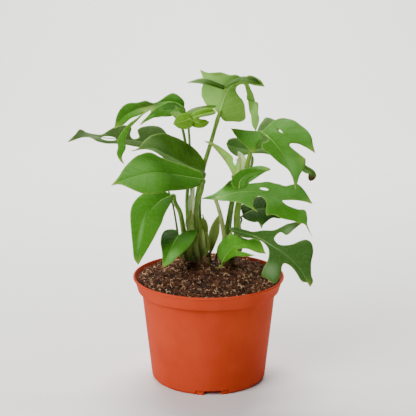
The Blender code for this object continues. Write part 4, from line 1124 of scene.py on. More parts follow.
def scatter_tree(shape):
    """Strews a shape over a surface. shape is lump, chip or fibre."""
    tree = bpy.data.node_groups.new("scatter_" + shape, "GeometryNodeTree")
    ports = tree.interface
    ports.new_socket("Surface", in_out="INPUT", socket_type="NodeSocketGeometry")
    for name, kind in (
        ("Density", "Float"), ("Seed", "Int"), ("Smallest", "Float"), ("Largest", "Float"),
        ("Flatness", "Float"), ("Tilt", "Float"), ("Finish", "Material"),
    ):
        ports.new_socket(name, in_out="INPUT", socket_type="NodeSocket" + kind)
    ports.new_socket("Pieces", in_out="OUTPUT", socket_type="NodeSocketGeometry")
    graph = Graph(tree)
    source = tree.nodes.new("NodeGroupInput")
    asked = {port.name: Value(graph, port) for port in source.outputs if port.name}
    spot = graph.node("GeometryNodeInputPosition")
    patchy = graph.noise(spot, 95, 3).smooth(0.38, 0.62, 0.25, 1.9)
    points = graph.node(
        "GeometryNodeDistributePointsOnFaces",
        {"distribute_method": "RANDOM"},
        {"Mesh": asked["Surface"], "Density": asked["Density"] * patchy, "Seed": asked["Seed"]},
    )
    stone = strewn_shape(graph, shape)
    spread = {"data_type": "FLOAT_VECTOR"}
    tilt = asked["Tilt"]
    low = graph.node("ShaderNodeCombineXYZ", {}, {0: tilt * -1, 1: tilt * -1, 2: 0.0})
    high = graph.node("ShaderNodeCombineXYZ", {}, {0: tilt, 1: tilt, 2: math.tau})
    turn = graph.node("FunctionNodeRandomValue", spread, {0: low, 1: high, "Seed": 11})
    small, large = asked["Smallest"], asked["Largest"]
    low = graph.node("ShaderNodeCombineXYZ", {}, {0: small, 1: small, 2: small * asked["Flatness"]})
    high = graph.node("ShaderNodeCombineXYZ", {}, {0: large, 1: large, 2: large * asked["Flatness"]})
    size = graph.node("FunctionNodeRandomValue", spread, {0: low, 1: high, "Seed": 12})
    turn = graph.node("FunctionNodeEulerToRotation", {}, {0: turn})
    values = {"Points": points, "Instance": stone, "Rotation": turn, "Scale": size}
    strewn = graph.node("GeometryNodeInstanceOnPoints", {}, values)
    real = graph.node("GeometryNodeRealizeInstances", {}, {0: strewn})
    done = graph.node("GeometryNodeSetMaterial", {}, {"Geometry": real, "Material": asked["Finish"]})
    graph.node("NodeGroupOutput", {}, {0: done})
    return tree


def strewn_shape(graph, shape):
    """The one shape that is strewn, about 1 across."""
    if shape == "chip":
        return graph.node("GeometryNodeMeshCube", {}, {"Size": (1.0, 0.28, 0.14)})
    if shape == "lump":
        ball = graph.node("GeometryNodeMeshIcoSphere", {}, {"Radius": 0.5, "Subdivisions": 2})
        spot = graph.node("GeometryNodeInputPosition")
        bumps = graph.node("ShaderNodeTexNoise", {}, {"Vector": spot, "Scale": 2.1}, "Color")
        push = graph.node(
            "ShaderNodeVectorMath", {"operation": "SUBTRACT"}, {0: bumps, 1: (0.5, 0.5, 0.5)}
        )
        return graph.node("GeometryNodeSetPosition", {}, {"Geometry": ball, "Offset": push})
    curl = graph.node(
        "GeometryNodeCurveArc", {}, {"Resolution": 8, "Radius": 0.5, "Sweep Angle": 2.6}
    )
    spot = graph.node("GeometryNodeInputPosition")
    bumps = graph.node("ShaderNodeTexNoise", {}, {"Vector": spot, "Scale": 1.6}, "Color")
    push = graph.node(
        "ShaderNodeVectorMath", {"operation": "SUBTRACT"}, {0: bumps, 1: (0.5, 0.5, 0.3)}
    )
    wave = graph.node("GeometryNodeSetPosition", {}, {"Geometry": curl, "Offset": push})
    ring = graph.node("GeometryNodeCurvePrimitiveCircle", {}, {"Resolution": 3, "Radius": 0.075})
    values = {"Curve": wave, "Profile Curve": ring, "Fill Caps": True}
    return graph.node("GeometryNodeCurveToMesh", {}, values)


def run_tree(item, tree, asked):
    """Runs a Geometry Nodes tree on the object and keeps the result as a plain mesh."""
    change = item.modifiers.new("tree", "NODES")
    change.node_group = tree
    for port in tree.interface.items_tree:
        if port.in_out == "INPUT" and port.name in asked:
            change[port.identifier] = asked[port.name]
    settle_modifiers(item)


def strew(name, surface, shape, finish, density, seed, sizes, flatness, tilt):
    """One kind of bit strewn over the soil, as one piece."""
    mesh = mesh_from(name, *surface)
    item = link_mesh(name, mesh, [])
    run_tree(item, scatter_tree(shape), {
        "Density": density * 1e4, "Seed": seed, "Smallest": sizes[0] * MM,
        "Largest": sizes[1] * MM, "Flatness": flatness, "Tilt": tilt, "Finish": finish,
    })
    hand_over(item, "soil_peat")


def make_soil(settings):
    dark = (0.012, 0.005, 0.003)
    peat = soil_finish("damp_peat", dark, (0.032, 0.013, 0.006), (0.15, 0.07, 0.03), 0.4)
    loose = soil_finish("loose_peat", dark, (0.090, 0.036, 0.016), (0.34, 0.17, 0.08), 0.6)
    coir = plain_finish("pale_coir", (0.86, 0.60, 0.38), (0.50, 0.25, 0.12), 0.7, 900)
    root = plain_finish("brown_coir", (0.26, 0.105, 0.045), (0.060, 0.022, 0.010), 0.75, 900)
    pith = plain_finish("coir_pith", (0.56, 0.34, 0.21), (0.16, 0.07, 0.035), 0.75, 300)
    perlite = plain_finish("perlite", (0.85, 0.80, 0.72), (0.55, 0.45, 0.36), 0.8, 1400, 0.8)
    wood = plain_finish("wood_chip", (0.66, 0.48, 0.26), (0.40, 0.24, 0.11), 0.7, 700)
    bulk = bpy.data.objects["soil"]
    bulk.data.materials.clear()
    bulk.data.materials.append(peat)
    points, faces = soil_points(SOIL_RINGS, SOIL_SPOKES)
    points, faces = close_below(points, faces, SOIL_SPOKES, SOIL_EDGE - SOIL_DEPTH)
    mesh = mesh_from("soil_top", points, faces)
    mesh.shade_smooth()
    mesh.set_sharp_from_angle(angle=math.radians(60))
    hand_over(link_mesh("soil_top", mesh, [peat]), "soil_peat")
    points, faces = soil_points(STREW_RINGS, STREW_SPOKES)
    keep = np.linalg.norm(points[:, :2], axis=1) < SOIL_RADIUS - 1.6 * MM
    inner = (points, [face for face in faces if keep[list(face)].all()])
    seed = settings.seed
    for name, shape, finish, number, sizes, flatness, tilt in (
        ("soil_crumbs", "lump", loose, settings.crumbs, (0.7, 4.2), 0.8, 0.8),
        ("pale_threads", "fibre", coir, settings.threads, (2.2, 7.0), 0.9, 1.1),
        ("brown_threads", "fibre", root, settings.threads * BROWN_FOR_EACH_PALE, (2.5, 7.5), 0.9, 1.1),
        ("pith_flakes", "chip", pith, settings.flakes, (0.8, 3.6), 1.0, 1.0),
        ("perlite_beads", "lump", perlite, settings.beads, (0.8, 2.0), 0.9, 1.0),
        ("wood_chips", "chip", wood, settings.chips, (2.0, 8.0), 0.8, 0.35),
    ):
        seed += 7
        strew(name, inner, shape, finish, number / SOIL_AREA, seed, sizes, flatness, tilt)


# ---------------------------------------------------------------- blades


class Blade:
    """A leaf blade: a margin drawn flat, bent over its midrib."""

    def __init__(self, rib, face, left, right, fold, curl, holes=(), attach=0):
        self.rib, self.length = even_points(smooth_curve(rib, 16), RIB_SAMPLES)
        self.ahead = unit(np.gradient(self.rib, axis=0))
        self.side = unit(np.cross(self.ahead, unit(self.spread(face))))
        self.up = unit(np.cross(self.side, self.ahead))
        self.fold = np.radians(fold)
        self.curl = np.radians(curl) / 10
        self.left, self.right = left, right
        self.holes, self.attach = holes, attach

    def spread(self, rows):
        """The rows, spread evenly along the rib."""
        rows = np.array(rows, float)
        where = np.linspace(0, len(rows) - 1, RIB_SAMPLES)
        return np.stack([np.interp(where, range(len(rows)), column) for column in rows.T], 1)

    def at(self, along, out):
        """Points of the middle surface, in drawn millimetres. out is positive to the right."""
        along, out = np.asarray(along, float), np.asarray(out, float)
        sample = np.clip(along / self.length, 0, 1) * (RIB_SAMPLES - 1)
        low = np.clip(sample.astype(int), 0, RIB_SAMPLES - 2)
        part = (sample - low)[..., None]

        def between(rows):
            return rows[low] * (1 - part) + rows[low + 1] * part

        past = np.minimum(along, 0) + np.maximum(along - self.length, 0)
        on_rib = between(self.rib) + unit(between(self.ahead)) * past[..., None]
        right = out >= 0
        reach = np.abs(out)
        fold = np.where(right, self.fold[1], self.fold[0])
        curl = np.where(right, self.curl[1], self.curl[0])
        sideways = (np.sin(fold) - np.sin(fold - curl * reach)) / curl
        upwards = (np.cos(fold - curl * reach) - np.cos(fold)) / curl
        sideways = np.where(right, sideways, -sideways)[..., None]
        side, up = unit(between(self.side)), unit(between(self.up))
        return on_rib + side * sideways + up * upwards[..., None]

    def margin(self, points, per_span):
        """A smooth margin through the points, sharp at each tip."""
        points = [(0, 0), *points, (self.length, 0, TIP)]
        runs, run = [], []
        for point in points:
            run.append(point[:2])
            if len(point) > 2:
                runs.append(run)
                run = [point[:2]]
        margin = [np.array([0.0, 0.0])]
        for run in runs:
            margin += list(smooth_curve(run, per_span)[1:])
        margin = np.array(margin)
        margin[1:-1, 1] = np.maximum(margin[1:-1, 1], 0.5)
        return margin

    def tips(self):
        """The points of the blade: its own tip and those of its lobes."""
        found = [(self.length, 0.0)]
        for points, sign in ((self.left, -1), (self.right, 1)):
            found += [(point[0], sign * point[1]) for point in points if len(point) > 2]
        return np.array(found)

    def hole_loops(self):
        loops = []
        for along, out, half_length, half_width in self.holes:
            angles = np.linspace(0, math.tau, HOLE_POINTS, endpoint=False)
            ring = [along + half_length * np.cos(angles), out + half_width * np.sin(angles)]
            loops.append(np.stack(ring, 1))
        return loops


def inside(loop, points):
    """Whether each point lies in the closed loop."""
    found = np.zeros(len(points), bool)
    for start, end in zip(loop, np.roll(loop, -1, axis=0)):
        crosses = (start[1] > points[:, 1]) != (end[1] > points[:, 1])
        with np.errstate(divide="ignore", invalid="ignore"):
            at = start[0] + (points[:, 1] - start[1]) * (end[0] - start[0]) / (end[1] - start[1])
        found ^= crosses & (points[:, 0] < at)
    return found


def distance_to_loops(loops, points):
    """How far each point is from the nearest point of the loops."""
    edge_points = np.concatenate(loops)
    gaps = points[:, None, :] - edge_points[None, :, :]
    return np.linalg.norm(gaps, axis=2).min(axis=1)


def blade_outline(blade, per_span):
    """The drawing's margin as one loop from the base, and which of its points is the tip."""
    right = blade.margin(blade.right, per_span)
    left = blade.margin(blade.left, per_span) * (1, -1)
    return np.concatenate([right, left[-2:0:-1]]), len(right) - 1


def blade_triangles(blade, outline, tip_index, spacing):
    """Flat points and triangles of the blade's drawing."""
    holes = blade.hole_loops()
    count = max(2, int(blade.length / spacing))
    rib = np.linspace(0, blade.length, count + 1)[1:-1]
    rib = np.stack([rib, np.zeros(len(rib))], 1)
    low, high = outline.min(axis=0), outline.max(axis=0)
    rows = []
    for k, out in enumerate(np.arange(low[1], high[1], spacing * 0.87)):
        start = low[0] + (k % 2) * spacing / 2
        rows += [(along, out) for along in np.arange(start, high[0], spacing)]
    grid = np.array(rows)
    clear = distance_to_loops([outline, rib, *holes], grid) > spacing * 0.45
    keep = clear & inside(outline, grid)
    for hole in holes:
        keep &= ~inside(hole, grid)
    points = [outline, rib, *holes, grid[keep]]
    edges = [(k, (k + 1) % len(outline)) for k in range(len(outline))]
    spine = [0, *range(len(outline), len(outline) + len(rib)), tip_index]
    edges += list(zip(spine, spine[1:]))
    start = len(outline) + len(rib)
    for hole in holes:
        edges += [(start + k, start + (k + 1) % len(hole)) for k in range(len(hole))]
        start += len(hole)
    flat = [Vector(point) for point in np.concatenate(points)]
    found = delaunay_2d_cdt(flat, edges, [], 0, 1e-4)
    vertices = np.array([tuple(vertex) for vertex in found[0]])
    faces = np.array([tuple(face) for face in found[2]])
    middles = vertices[faces].mean(axis=1)
    keep = inside(outline, middles)
    for hole in holes:
        keep &= ~inside(hole, middles)
    used, faces = np.unique(faces[keep], return_inverse=True)
    return vertices[used], faces.reshape(-1, 3)


def relief(blade, flat, edge_gap, wave, seed):
    """How far each point stands above the smooth blade, in millimetres."""
    along, out = flat[:, 0], flat[:, 1]
    reach = np.abs(out)
    order = (along - 0.85 * reach + 0.010 * reach**2) / 8.8
    inner = np.clip(edge_gap / 6, 0, 1) * np.clip(reach / 4, 0, 1)
    quilt = 0.28 * (np.abs(np.sin(np.pi * order)) - 0.6) * inner
    groove = -0.30 * np.exp(-((reach / 1.6) ** 2))
    spots = np.column_stack([flat, np.zeros(len(flat))])
    outer = np.clip(1 - edge_gap / 9, 0, 1) * np.clip(reach / 6, 0, 1)
    ripple = wave * noise_at(spots, 0.085, seed) * outer
    sag = 0.5 * wave * noise_at(spots, 0.035, seed + 40) * np.clip(reach / 10, 0, 1)
    return quilt + groove + ripple + sag


def painted_light_and_shade(flat, left_painted_light, right_painted_light, patches):
    """How dark or pale each point of the blade is painted: painted shade and painted light for its two
    halves and its patches.
    """
    along, out = flat[:, 0], flat[:, 1]
    half = 0.5 + 0.5 * np.tanh(out / 1.2)
    painted_light_tone = left_painted_light * (1 - half) + right_painted_light * half
    for patch_along, patch_out, length_of, width_of, patch_painted_light in patches:
        gap = ((along - patch_along) / length_of) ** 2 + ((out - patch_out) / width_of) ** 2
        painted_light_tone = painted_light_tone + patch_painted_light * np.exp(-gap * 1.2)
    return np.clip(painted_light_tone, -1.2, 1.2)


def make_blade(name, settings, finishes):
    blade = Blade(**(BLADES.get(name) or LOBES[name]))
    tint, wave, seed, left_painted_light, right_painted_light, patches = BLADE_LOOKS[name]
    outline, tip_index = blade_outline(blade, 8)
    spacing = min(settings.spacing / MM, blade.length / 14)
    flat, faces = blade_triangles(blade, outline, tip_index, spacing)
    edge_gap = distance_to_loops([outline, *blade.hole_loops()], flat)
    middle = blade.at(flat[:, 0], flat[:, 1])
    step = 0.2
    run = blade.at(flat[:, 0] + step, flat[:, 1]) - middle
    reach = blade.at(flat[:, 0], flat[:, 1] + step) - middle
    up = unit(np.cross(reach, run))
    points = place(middle + up * relief(blade, flat, edge_gap, wave, seed)[:, None])
    mesh = mesh_from("leaf_" + name, points, faces)
    store(mesh, "blade_place", "FLOAT_VECTOR", np.column_stack([flat / 10, np.zeros(len(flat))]))
    widest = max(6.0, edge_gap.max())
    store(mesh, "blade_edge", "FLOAT", 1 - np.clip(edge_gap / widest, 0, 1))
    tip_gap = distance_to_loops([blade.tips()], flat)
    fade = min(12.0, blade.length * 0.2)
    store(mesh, "blade_tip", "FLOAT", np.clip(1 - tip_gap / fade, 0, 1) ** 1.5)
    # Painted light and shade for each point, read by the leaf finish.
    store(mesh, "blade_tone", "FLOAT", painted_light_and_shade(flat, left_painted_light, right_painted_light, patches))
    dry_from = DRY_FROM.get(name, NEVER_DRY)
    store(mesh, "blade_dry", "FLOAT", np.clip((flat[:, 0] - dry_from) / 8, 0, 1))
    first = faces[0]
    across = np.cross(points[first[1]] - points[first[0]], points[first[2]] - points[first[0]])
    if across @ up[first[0]] < 0:
        mesh.flip_normals()
    leaf = link_mesh("leaf_" + name, mesh, finishes[tint])
    thick = leaf.modifiers.new("thickness", "SOLIDIFY")
    thick.thickness, thick.offset = settings.thickness, 0
    thick.material_offset, thick.material_offset_rim = 1, 1
    settle_modifiers(leaf)
    add_keel(leaf, blade, settings)
    leaf.data.shade_smooth()
    nodes = [name + "_blade"] if name in BLADES else []
    hand_over(leaf, "young_leaf_green" if tint in YOUNG_TINTS else "leaf_green", *nodes)


def add_keel(leaf, blade, settings):
    """The midrib that stands out below the blade, tapering to its tip."""
    rings = KEEL_RINGS
    along = np.linspace(blade.attach + 1, blade.length * 0.94, rings)
    middle = blade.at(along, np.zeros(rings))
    near = blade.at(along, np.full(rings, 0.05)) - blade.at(along, np.full(rings, -0.05))
    ahead = unit(np.gradient(middle, axis=0))
    up = unit(np.cross(near, ahead))
    radii = np.linspace(0.85, 0.22, rings) * settings.keel
    points, faces = tube_points(middle - up * (0.30 + radii * 0.55)[:, None], radii, KEEL_SIDES)
    keel = mesh_from("keel", place(points), faces)
    place_of = np.zeros((len(points), 3))
    place_of[:, 0] = np.repeat(along, KEEL_SIDES) / 10
    store(keel, "blade_place", "FLOAT_VECTOR", place_of)
    for name in ("blade_edge", "blade_tip", "blade_tone", "blade_dry"):
        store(keel, name, "FLOAT", np.zeros(len(points)))
    keel.polygons.foreach_set("material_index", np.ones(len(keel.polygons), np.int32))
    work = bmesh.new()
    work.from_mesh(leaf.data)
    work.from_mesh(keel)
    work.to_mesh(leaf.data)
    work.free()


def make_blades(settings):
    finishes = {}
    for tint in TINTS:
        finishes[tint] = [
            leaf_finish(tint + "_leaf_top", tint, settings, False),
            leaf_finish(tint + "_leaf_under", tint, settings, True),
        ]
    for name in LOBES:
        make_blade(name, settings, finishes)
    for name in BLADES:
        make_blade(name, settings, finishes)
        low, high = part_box(name + "_blade")
        skin = np.array([vertex.co for vertex in bpy.data.objects["leaf_" + name].data.vertices])
        off = max(np.abs(skin.min(0) - low).max(), np.abs(skin.max(0) - high).max())
        if off > 5 * MM:
            raise RuntimeError(f"leaf {name} is {off / MM:.1f} mm off its node")


# ---------------------------------------------------------------- petioles and stems


class Stem:
    """A short upright stem that petioles leave."""

    def __init__(self, path, girth):
        self.points = place(smooth_curve(path, 10))
        self.radius = STEM_RADIUS * girth

    def at(self, height):
        """The axis at a height above the crown's soil."""
        level = place(CROWN_DRAWN)[2] + height * MM
        columns = [np.interp(level, self.points[:, 2], self.points[:, k]) for k in (0, 1)]
        return np.array([*columns, level])

    def beside(self, height, direction, radius):
        """The middle of a round piece that lies against the stem."""
        turn = math.radians(direction)
        out = np.array([math.cos(turn), math.sin(turn), 0])
        return self.at(height) + out * (self.radius + radius + GAP)


def under_blade(blade, along, radius, extra=0.0):
    """A point on the petiole's middle line, under the midrib."""
    here = place(blade.at([along], [0]))[0]
    ahead = place(blade.at([along + 1], [0]))[0]
    lifted = blade.at([along], [0.001])[0] - blade.at([along], [-0.001])[0]
    down = -unit(np.cross(unit(lifted), unit(ahead - here)))
    droop = math.cos(max(0.0, -blade.fold.min()))
    drop = (BLADE_THICKNESS / 2 + GAP + radius) / droop + extra
    return here + down * drop


def towards(start, goal, distance):
    """The point at a distance from start, or less far if the goal is near."""
    share = min(0.4, distance / np.linalg.norm(goal - start))
    return start + (goal - start) * share


def petiole_path(spec, stems, blade, radius, tip_radius, per_span):
    """The petiole's middle line, from beside its stem or out of the soil to under its blade."""
    middle = list(place(spec["via"])) if spec["via"] else []
    end = [
        under_blade(blade, blade.attach - 2, tip_radius, 0.8 * MM),
        under_blade(blade, blade.attach + 4, tip_radius),
    ]
    if not spec["stem"]:
        return smooth_curve([*middle, *end], per_span)
    stem = stems[spec["stem"]]
    start = [
        stem.beside(spec["height"], spec["direction"], radius),
        stem.beside(spec["height"] + 7, spec["direction"], radius + 0.5 * MM),
    ]
    route = [*start, *middle, *end]
    leaving = towards(start[-1], route[2], LEAVING_STEP)
    arriving = towards(end[0], route[-3], LEAVING_STEP)
    return smooth_curve([*start, leaving, *middle, arriving, *end], per_span)


def stalk_tree():
    """A tube along a line whose points carry their own radius."""
    tree = bpy.data.node_groups.new("stalk", "GeometryNodeTree")
    ports = tree.interface
    ports.new_socket("Line", in_out="INPUT", socket_type="NodeSocketGeometry")
    ports.new_socket("Sides", in_out="INPUT", socket_type="NodeSocketInt")
    ports.new_socket("Finish", in_out="INPUT", socket_type="NodeSocketMaterial")
    ports.new_socket("Stalk", in_out="OUTPUT", socket_type="NodeSocketGeometry")
    graph = Graph(tree)
    source = tree.nodes.new("NodeGroupInput")
    asked = {port.name: Value(graph, port) for port in source.outputs if port.name}
    curve = graph.node("GeometryNodeMeshToCurve", {}, {0: asked["Line"]})
    girth = graph.node("GeometryNodeInputNamedAttribute", {"data_type": "FLOAT"}, {0: "stalk_girth"})
    curve = graph.node("GeometryNodeSetCurveRadius", {}, {"Curve": curve, "Radius": girth})
    ring = graph.node("GeometryNodeCurvePrimitiveCircle", {}, {"Resolution": asked["Sides"]})
    values = {"Curve": curve, "Profile Curve": ring, "Scale": girth, "Fill Caps": True}
    tube = graph.node("GeometryNodeCurveToMesh", {}, values)
    smooth = graph.node("GeometryNodeSetShadeSmooth", {}, {0: tube})
    real = graph.node("GeometryNodeRealizeInstances", {}, {0: smooth})
    done = graph.node("GeometryNodeSetMaterial", {}, {"Geometry": real, "Material": asked["Finish"]})
    graph.node("NodeGroupOutput", {}, {0: done})
    return tree


def stalk(name, path, radii, tree, finish, slot_name, node, sides=14):
    """A petiole, stem or stick: a line with a girth, turned into a tube by the tree."""
    mesh = bpy.data.meshes.new(name)
    mesh.from_pydata(path.tolist(), [(k, k + 1) for k in range(len(path) - 1)], [])
    store(mesh, "stalk_girth", "FLOAT", radii)
    store(mesh, "stalk_along", "FLOAT", np.linspace(0, 1, len(path)))
    item = link_mesh(name, mesh, [])
    run_tree(item, tree, {"Sides": sides, "Finish": finish})
    outward(item.data)
    hand_over(item, slot_name, node)


def outward(mesh):
    """Joins the mesh's doubles and turns its faces outwards."""
    work = bmesh.new()
    work.from_mesh(mesh)
    bmesh.ops.remove_doubles(work, verts=work.verts, dist=0.000005)
    bmesh.ops.recalc_face_normals(work, faces=work.faces)
    work.to_mesh(mesh)
    work.free()


def petiole_girth(count, radius, tip_radius, foot):
    """Stout at the foot, slim, and thicker again at the knee under the blade."""
    along = np.linspace(0, 1, count)
    girth = np.linspace(radius, tip_radius * 1.15, count)
    girth = girth * (1 + foot * np.exp(-((along / 0.22) ** 2)) * 0.6)
    girth = girth * (1 + 0.22 * np.exp(-(((along - 0.93) / 0.035) ** 2)))
    girth[-3:] = girth[-3:] * (1, 0.93, 0.7)
    return girth


def make_petioles(settings):
    tree = stalk_tree()
    finishes = {
        tint: stalk_finish(tint + "_petiole", *colours) for tint, colours in PETIOLE_TINTS.items()
    }
    stems = {name: Stem(**spec) for name, spec in STEMS.items()}
    for name, spec in PETIOLES.items():
        tint, stout, foot = PETIOLE_LOOKS[name]
        radius = PETIOLE_RADIUS * spec["girth"]
        tip_radius = PETIOLE_TIP_RADIUS * min(1.0, spec["girth"])
        path = petiole_path(spec, stems, Blade(**BLADES[name]), radius, tip_radius, 10)
        path, _ = even_points(path, settings.rings)
        girth = petiole_girth(len(path), radius, tip_radius, foot) * stout
        stalk(
            "petiole_" + name, path, girth, tree, finishes[tint], "petiole_green",
            name + "_petiole",
        )


def make_stems(settings):
    """The short stems, ringed where leaves were, and the dry petioles."""
    tree = stalk_tree()
    bark = stalk_finish("stem_skin", (0.15, 0.25, 0.03), (0.28, 0.34, 0.08))
    for name, spec in STEMS.items():
        stem = Stem(**spec)
        path, _ = even_points(stem.points, settings.rings)
        along = np.linspace(0, 1, len(path))
        rings = np.maximum(0, np.cos(along * math.tau * 3.5)) ** 12
        girth = stem.radius * (0.97 + 0.10 * rings)
        girth[-4:] *= (0.96, 0.88, 0.70, 0.35)
        stalk("trunk_" + name[5:], path, girth, tree, bark, "stem_green", name, 20)
    dry = plain_finish("dry_stalk", (0.05, 0.03, 0.018), (0.010, 0.007, 0.006), 0.75, 500, 0.8)
    for name, drawn in STICKS.items():
        path, _ = even_points(place(smooth_curve(drawn, 12)), settings.rings)
        shake = noise_at(path, 300, 7) * 0.12
        girth = np.linspace(STICK_RADIUS, STICK_TIP_RADIUS, len(path)) * (1.3 + shake)
        stalk("dry_" + name[13:], path, girth, tree, dry, "dry_brown", name, 10)


# Dry leaf bases round the crown: middle of the foot, direction, height, half width, turn, lean.
HUSKS = [
    ((-4, 8, 112), 262, 16, 5.5, 70, 0.15),
    ((-1, 9, 112), 290, 13, 5.0, 70, 0.3),
    ((-9, 8, 112), 250, 10, 4.5, 80, 0.4),
    ((-18, 14, 113), 240, 13, 5.0, 70, 0.25),
    ((-12, 12, 113), 265, 11, 3.6, 70, 0.3),
    ((17, 20, 111), 245, 10, 4.0, 70, 0.3),
    ((26, 22, 110), 310, 9, 3.6, 70, 0.3),
    ((-25, 26, 111), 245, 9, 3.6, 70, 0.3),
]


def make_husks(settings):
    """Thin curved scraps of dry leaf base, standing round the crown."""
    husk = plain_finish("dry_husk", (0.36, 0.24, 0.11), (0.12, 0.065, 0.03), 0.7, 420, 0.8)
    for number, (foot, direction, height, half, wrap, lean) in enumerate(HUSKS):
        way = math.radians(direction)
        out = np.array([math.cos(way), math.sin(way), 0.0])
        side = np.array([-out[1], out[0], 0.0])
        rows, columns = 12, 9
        points = []
        for row in range(rows):
            rise = row / (rows - 1)
            width = half * (1 - rise**1.5) ** 0.8 + 0.15
            for column in range(columns):
                across = column / (columns - 1) * 2 - 1
                bend = math.radians(wrap) * across
                frayed = rise * height * (1 - 0.10 * abs(across))
                spot = np.array(foot) + side * width * math.sin(bend)
                spot = spot + out * (width * (math.cos(bend) - 1) + lean * frayed * rise)
                points.append(spot + np.array([0, 0, frayed]))
        points = np.array(points)
        points = points + noise_at(points, 0.35, 30 + number)[:, None] * 0.5 * out
        faces = [
            (r * columns + c, r * columns + c + 1, (r + 1) * columns + c + 1, (r + 1) * columns + c)
            for r in range(rows - 1) for c in range(columns - 1)
        ]
        item = link_mesh(f"husk_{number + 1}", mesh_from("husk", place(points), faces), [husk])
        thick = item.modifiers.new("thickness", "SOLIDIFY")
        thick.thickness, thick.offset = settings.husk_thickness, 0
        settle_modifiers(item)
        item.data.shade_smooth()
        hand_over(item, "dry_brown")


# ---------------------------------------------------------------- stage


def aim(item, target):
    """Turns a lamp to face a point."""
    way = Vector(target) - item.location
    item.rotation_euler = way.to_track_quat("-Z", "Y").to_euler()


def area_light(name, place_at, target, size, power, colour):
    lamp = bpy.data.lights.new(name, "AREA")
    lamp.shape, lamp.size, lamp.size_y = "RECTANGLE", size[0], size[1]
    lamp.energy, lamp.color = power, colour
    item = bpy.data.objects.new(name, lamp)
    item.location = place_at
    bpy.context.scene.collection.objects.link(item)
    aim(item, target)


def make_stage(settings):
    """A pale floor that rises behind, soft lights and the camera."""
    steps = np.linspace(0, math.pi / 2, 16)
    bend, back, front, half, top = 0.6, 1.4, -2.2, 1.1, 2.2
    line = [(front, 0.0)]
    line += [(back + bend * math.sin(a), bend * (1 - math.cos(a))) for a in steps]
    line += [(back + bend, top)]
    points = [(x, y, z) for y, z in line for x in (-half, half)]
    faces = [(2 * k, 2 * k + 1, 2 * k + 3, 2 * k + 2) for k in range(len(line) - 1)]
    made, graph = new_material("pale_floor")
    grain = graph.noise(graph.object_position(), 30, 2)
    base = graph.mix(grain, (0.83, 0.83, 0.83), (0.86, 0.86, 0.86))
    finish_material(graph, base, 0.9, {"Specular IOR Level": 0.1})
    floor = link_mesh("floor", mesh_from("floor", points, faces), [made])
    floor.data.shade_smooth()
    target = (0, 0, 0.17)
    warm, cool = (1.0, 0.98, 0.95), (0.95, 0.98, 1.0)
    area_light("key", (-0.95, -0.95, 1.15), target, (0.95, 0.95), settings.key_power, warm)
    area_light("fill", (1.4, -1.2, 0.5), target, (1.2, 1.2), settings.fill_power, cool)
    area_light("overhead", (-0.3, 0.5, 1.5), target, (0.9, 0.9), settings.top_power, warm)
    area_light("backdrop", (0, 0.9, 1.9), (0, 1.7, 0.2), (1.4, 0.4), settings.back_power, warm)
    world = bpy.data.worlds.new("studio")
    world.use_nodes = True
    graph = Graph(world.node_tree)
    sky = graph.node(
        "ShaderNodeBackground", {}, {"Color": (1, 1, 1, 1), "Strength": settings.sky}
    )
    graph.node("ShaderNodeOutputWorld", {}, {"Surface": sky})
    bpy.context.scene.world = world
    lens = bpy.data.cameras.new("camera")
    lens.sensor_width, lens.lens = 36, FOCAL_LENGTH
    lens.clip_start, lens.clip_end = 0.01, 20
    camera = bpy.data.objects.new("camera", lens)
    camera.location = CAMERA_PLACE
    camera.rotation_euler = (math.radians(CAMERA_TILT), 0, 0)
    bpy.context.scene.collection.objects.link(camera)
    bpy.context.scene.camera = camera


# ---------------------------------------------------------------- settings, operators, panel


def length(name, description, default):
    return bpy.props.FloatProperty(
        name=name, description=description, default=default, min=0, unit="LENGTH", precision=5
    )


def colour(name, description, default):
    return bpy.props.FloatVectorProperty(
        name=name, description=description, default=default, min=0, max=1, subtype="COLOR"
    )


def share(name, description, default, most=1.0):
    return bpy.props.FloatProperty(
        name=name, description=description, default=default, min=0, max=most
    )


def count(name, description, default, most=5000):
    return bpy.props.IntProperty(
        name=name, description=description, default=default, min=1, max=most
    )


class PotSettings(bpy.types.PropertyGroup):
    steps: count("Steps", "Faces round the pot", 144, 512)
    foot_radius: length("Foot radius", "Radius of the foot", 57.8 * MM)
    wall: length("Wall", "Thickness of the wall", 1.6 * MM)
    lip_height: length("Lip height", "Height of the rolled lip", 2.6 * MM)
    collar_height: length("Collar height", "From the lip's top to the ledge", 14.4 * MM)
    collar_step: length("Collar step", "How far the collar stands out", 3.6 * MM)
    notches: count("Notches", "Drain notches in the foot", 3, 12)
    notch_turn: share("Notch turn", "Degrees from the front to the first notch", 4.0, 60.0)
    colour: colour("Colour", "Plastic where it is lightest", (0.55, 0.060, 0.020))
    deep_colour: colour("Deep colour", "Plastic where it is deepest", (0.48, 0.047, 0.016))
    roughness: share("Roughness", "How matte the plastic is", 0.52)


class SoilSettings(bpy.types.PropertyGroup):
    crumbs: count("Crumbs", "Crumbs of peat", 1500)
    threads: count("Threads", "Pale coir threads, with several times as many brown", 420)
    flakes: count("Flakes", "Flakes of coir pith", 380)
    beads: count("Beads", "White perlite beads", 34)
    chips: count("Chips", "Pale wood chips", 70)
    seed: count("Seed", "Where the crumbs fall", 3)


class BladeSettings(bpy.types.PropertyGroup):
    spacing: length("Spacing", "Distance between mesh points", 2.0 * MM)
    thickness: length("Thickness", "Thickness of a blade", 0.45 * MM)
    keel: share("Keel", "How far the midrib stands out below", 1.0, 3.0)
    gloss_roughness: share("Gloss", "Roughness of the waxy upper side", 0.44)
    glow: share("Glow", "How much light comes through", 0.16)


class StalkSettings(bpy.types.PropertyGroup):
    rings: count("Rings", "Rings along each stalk", 64, 400)
    husk_thickness: length("Husk thickness", "Thickness of the dry scraps", 0.3 * MM)


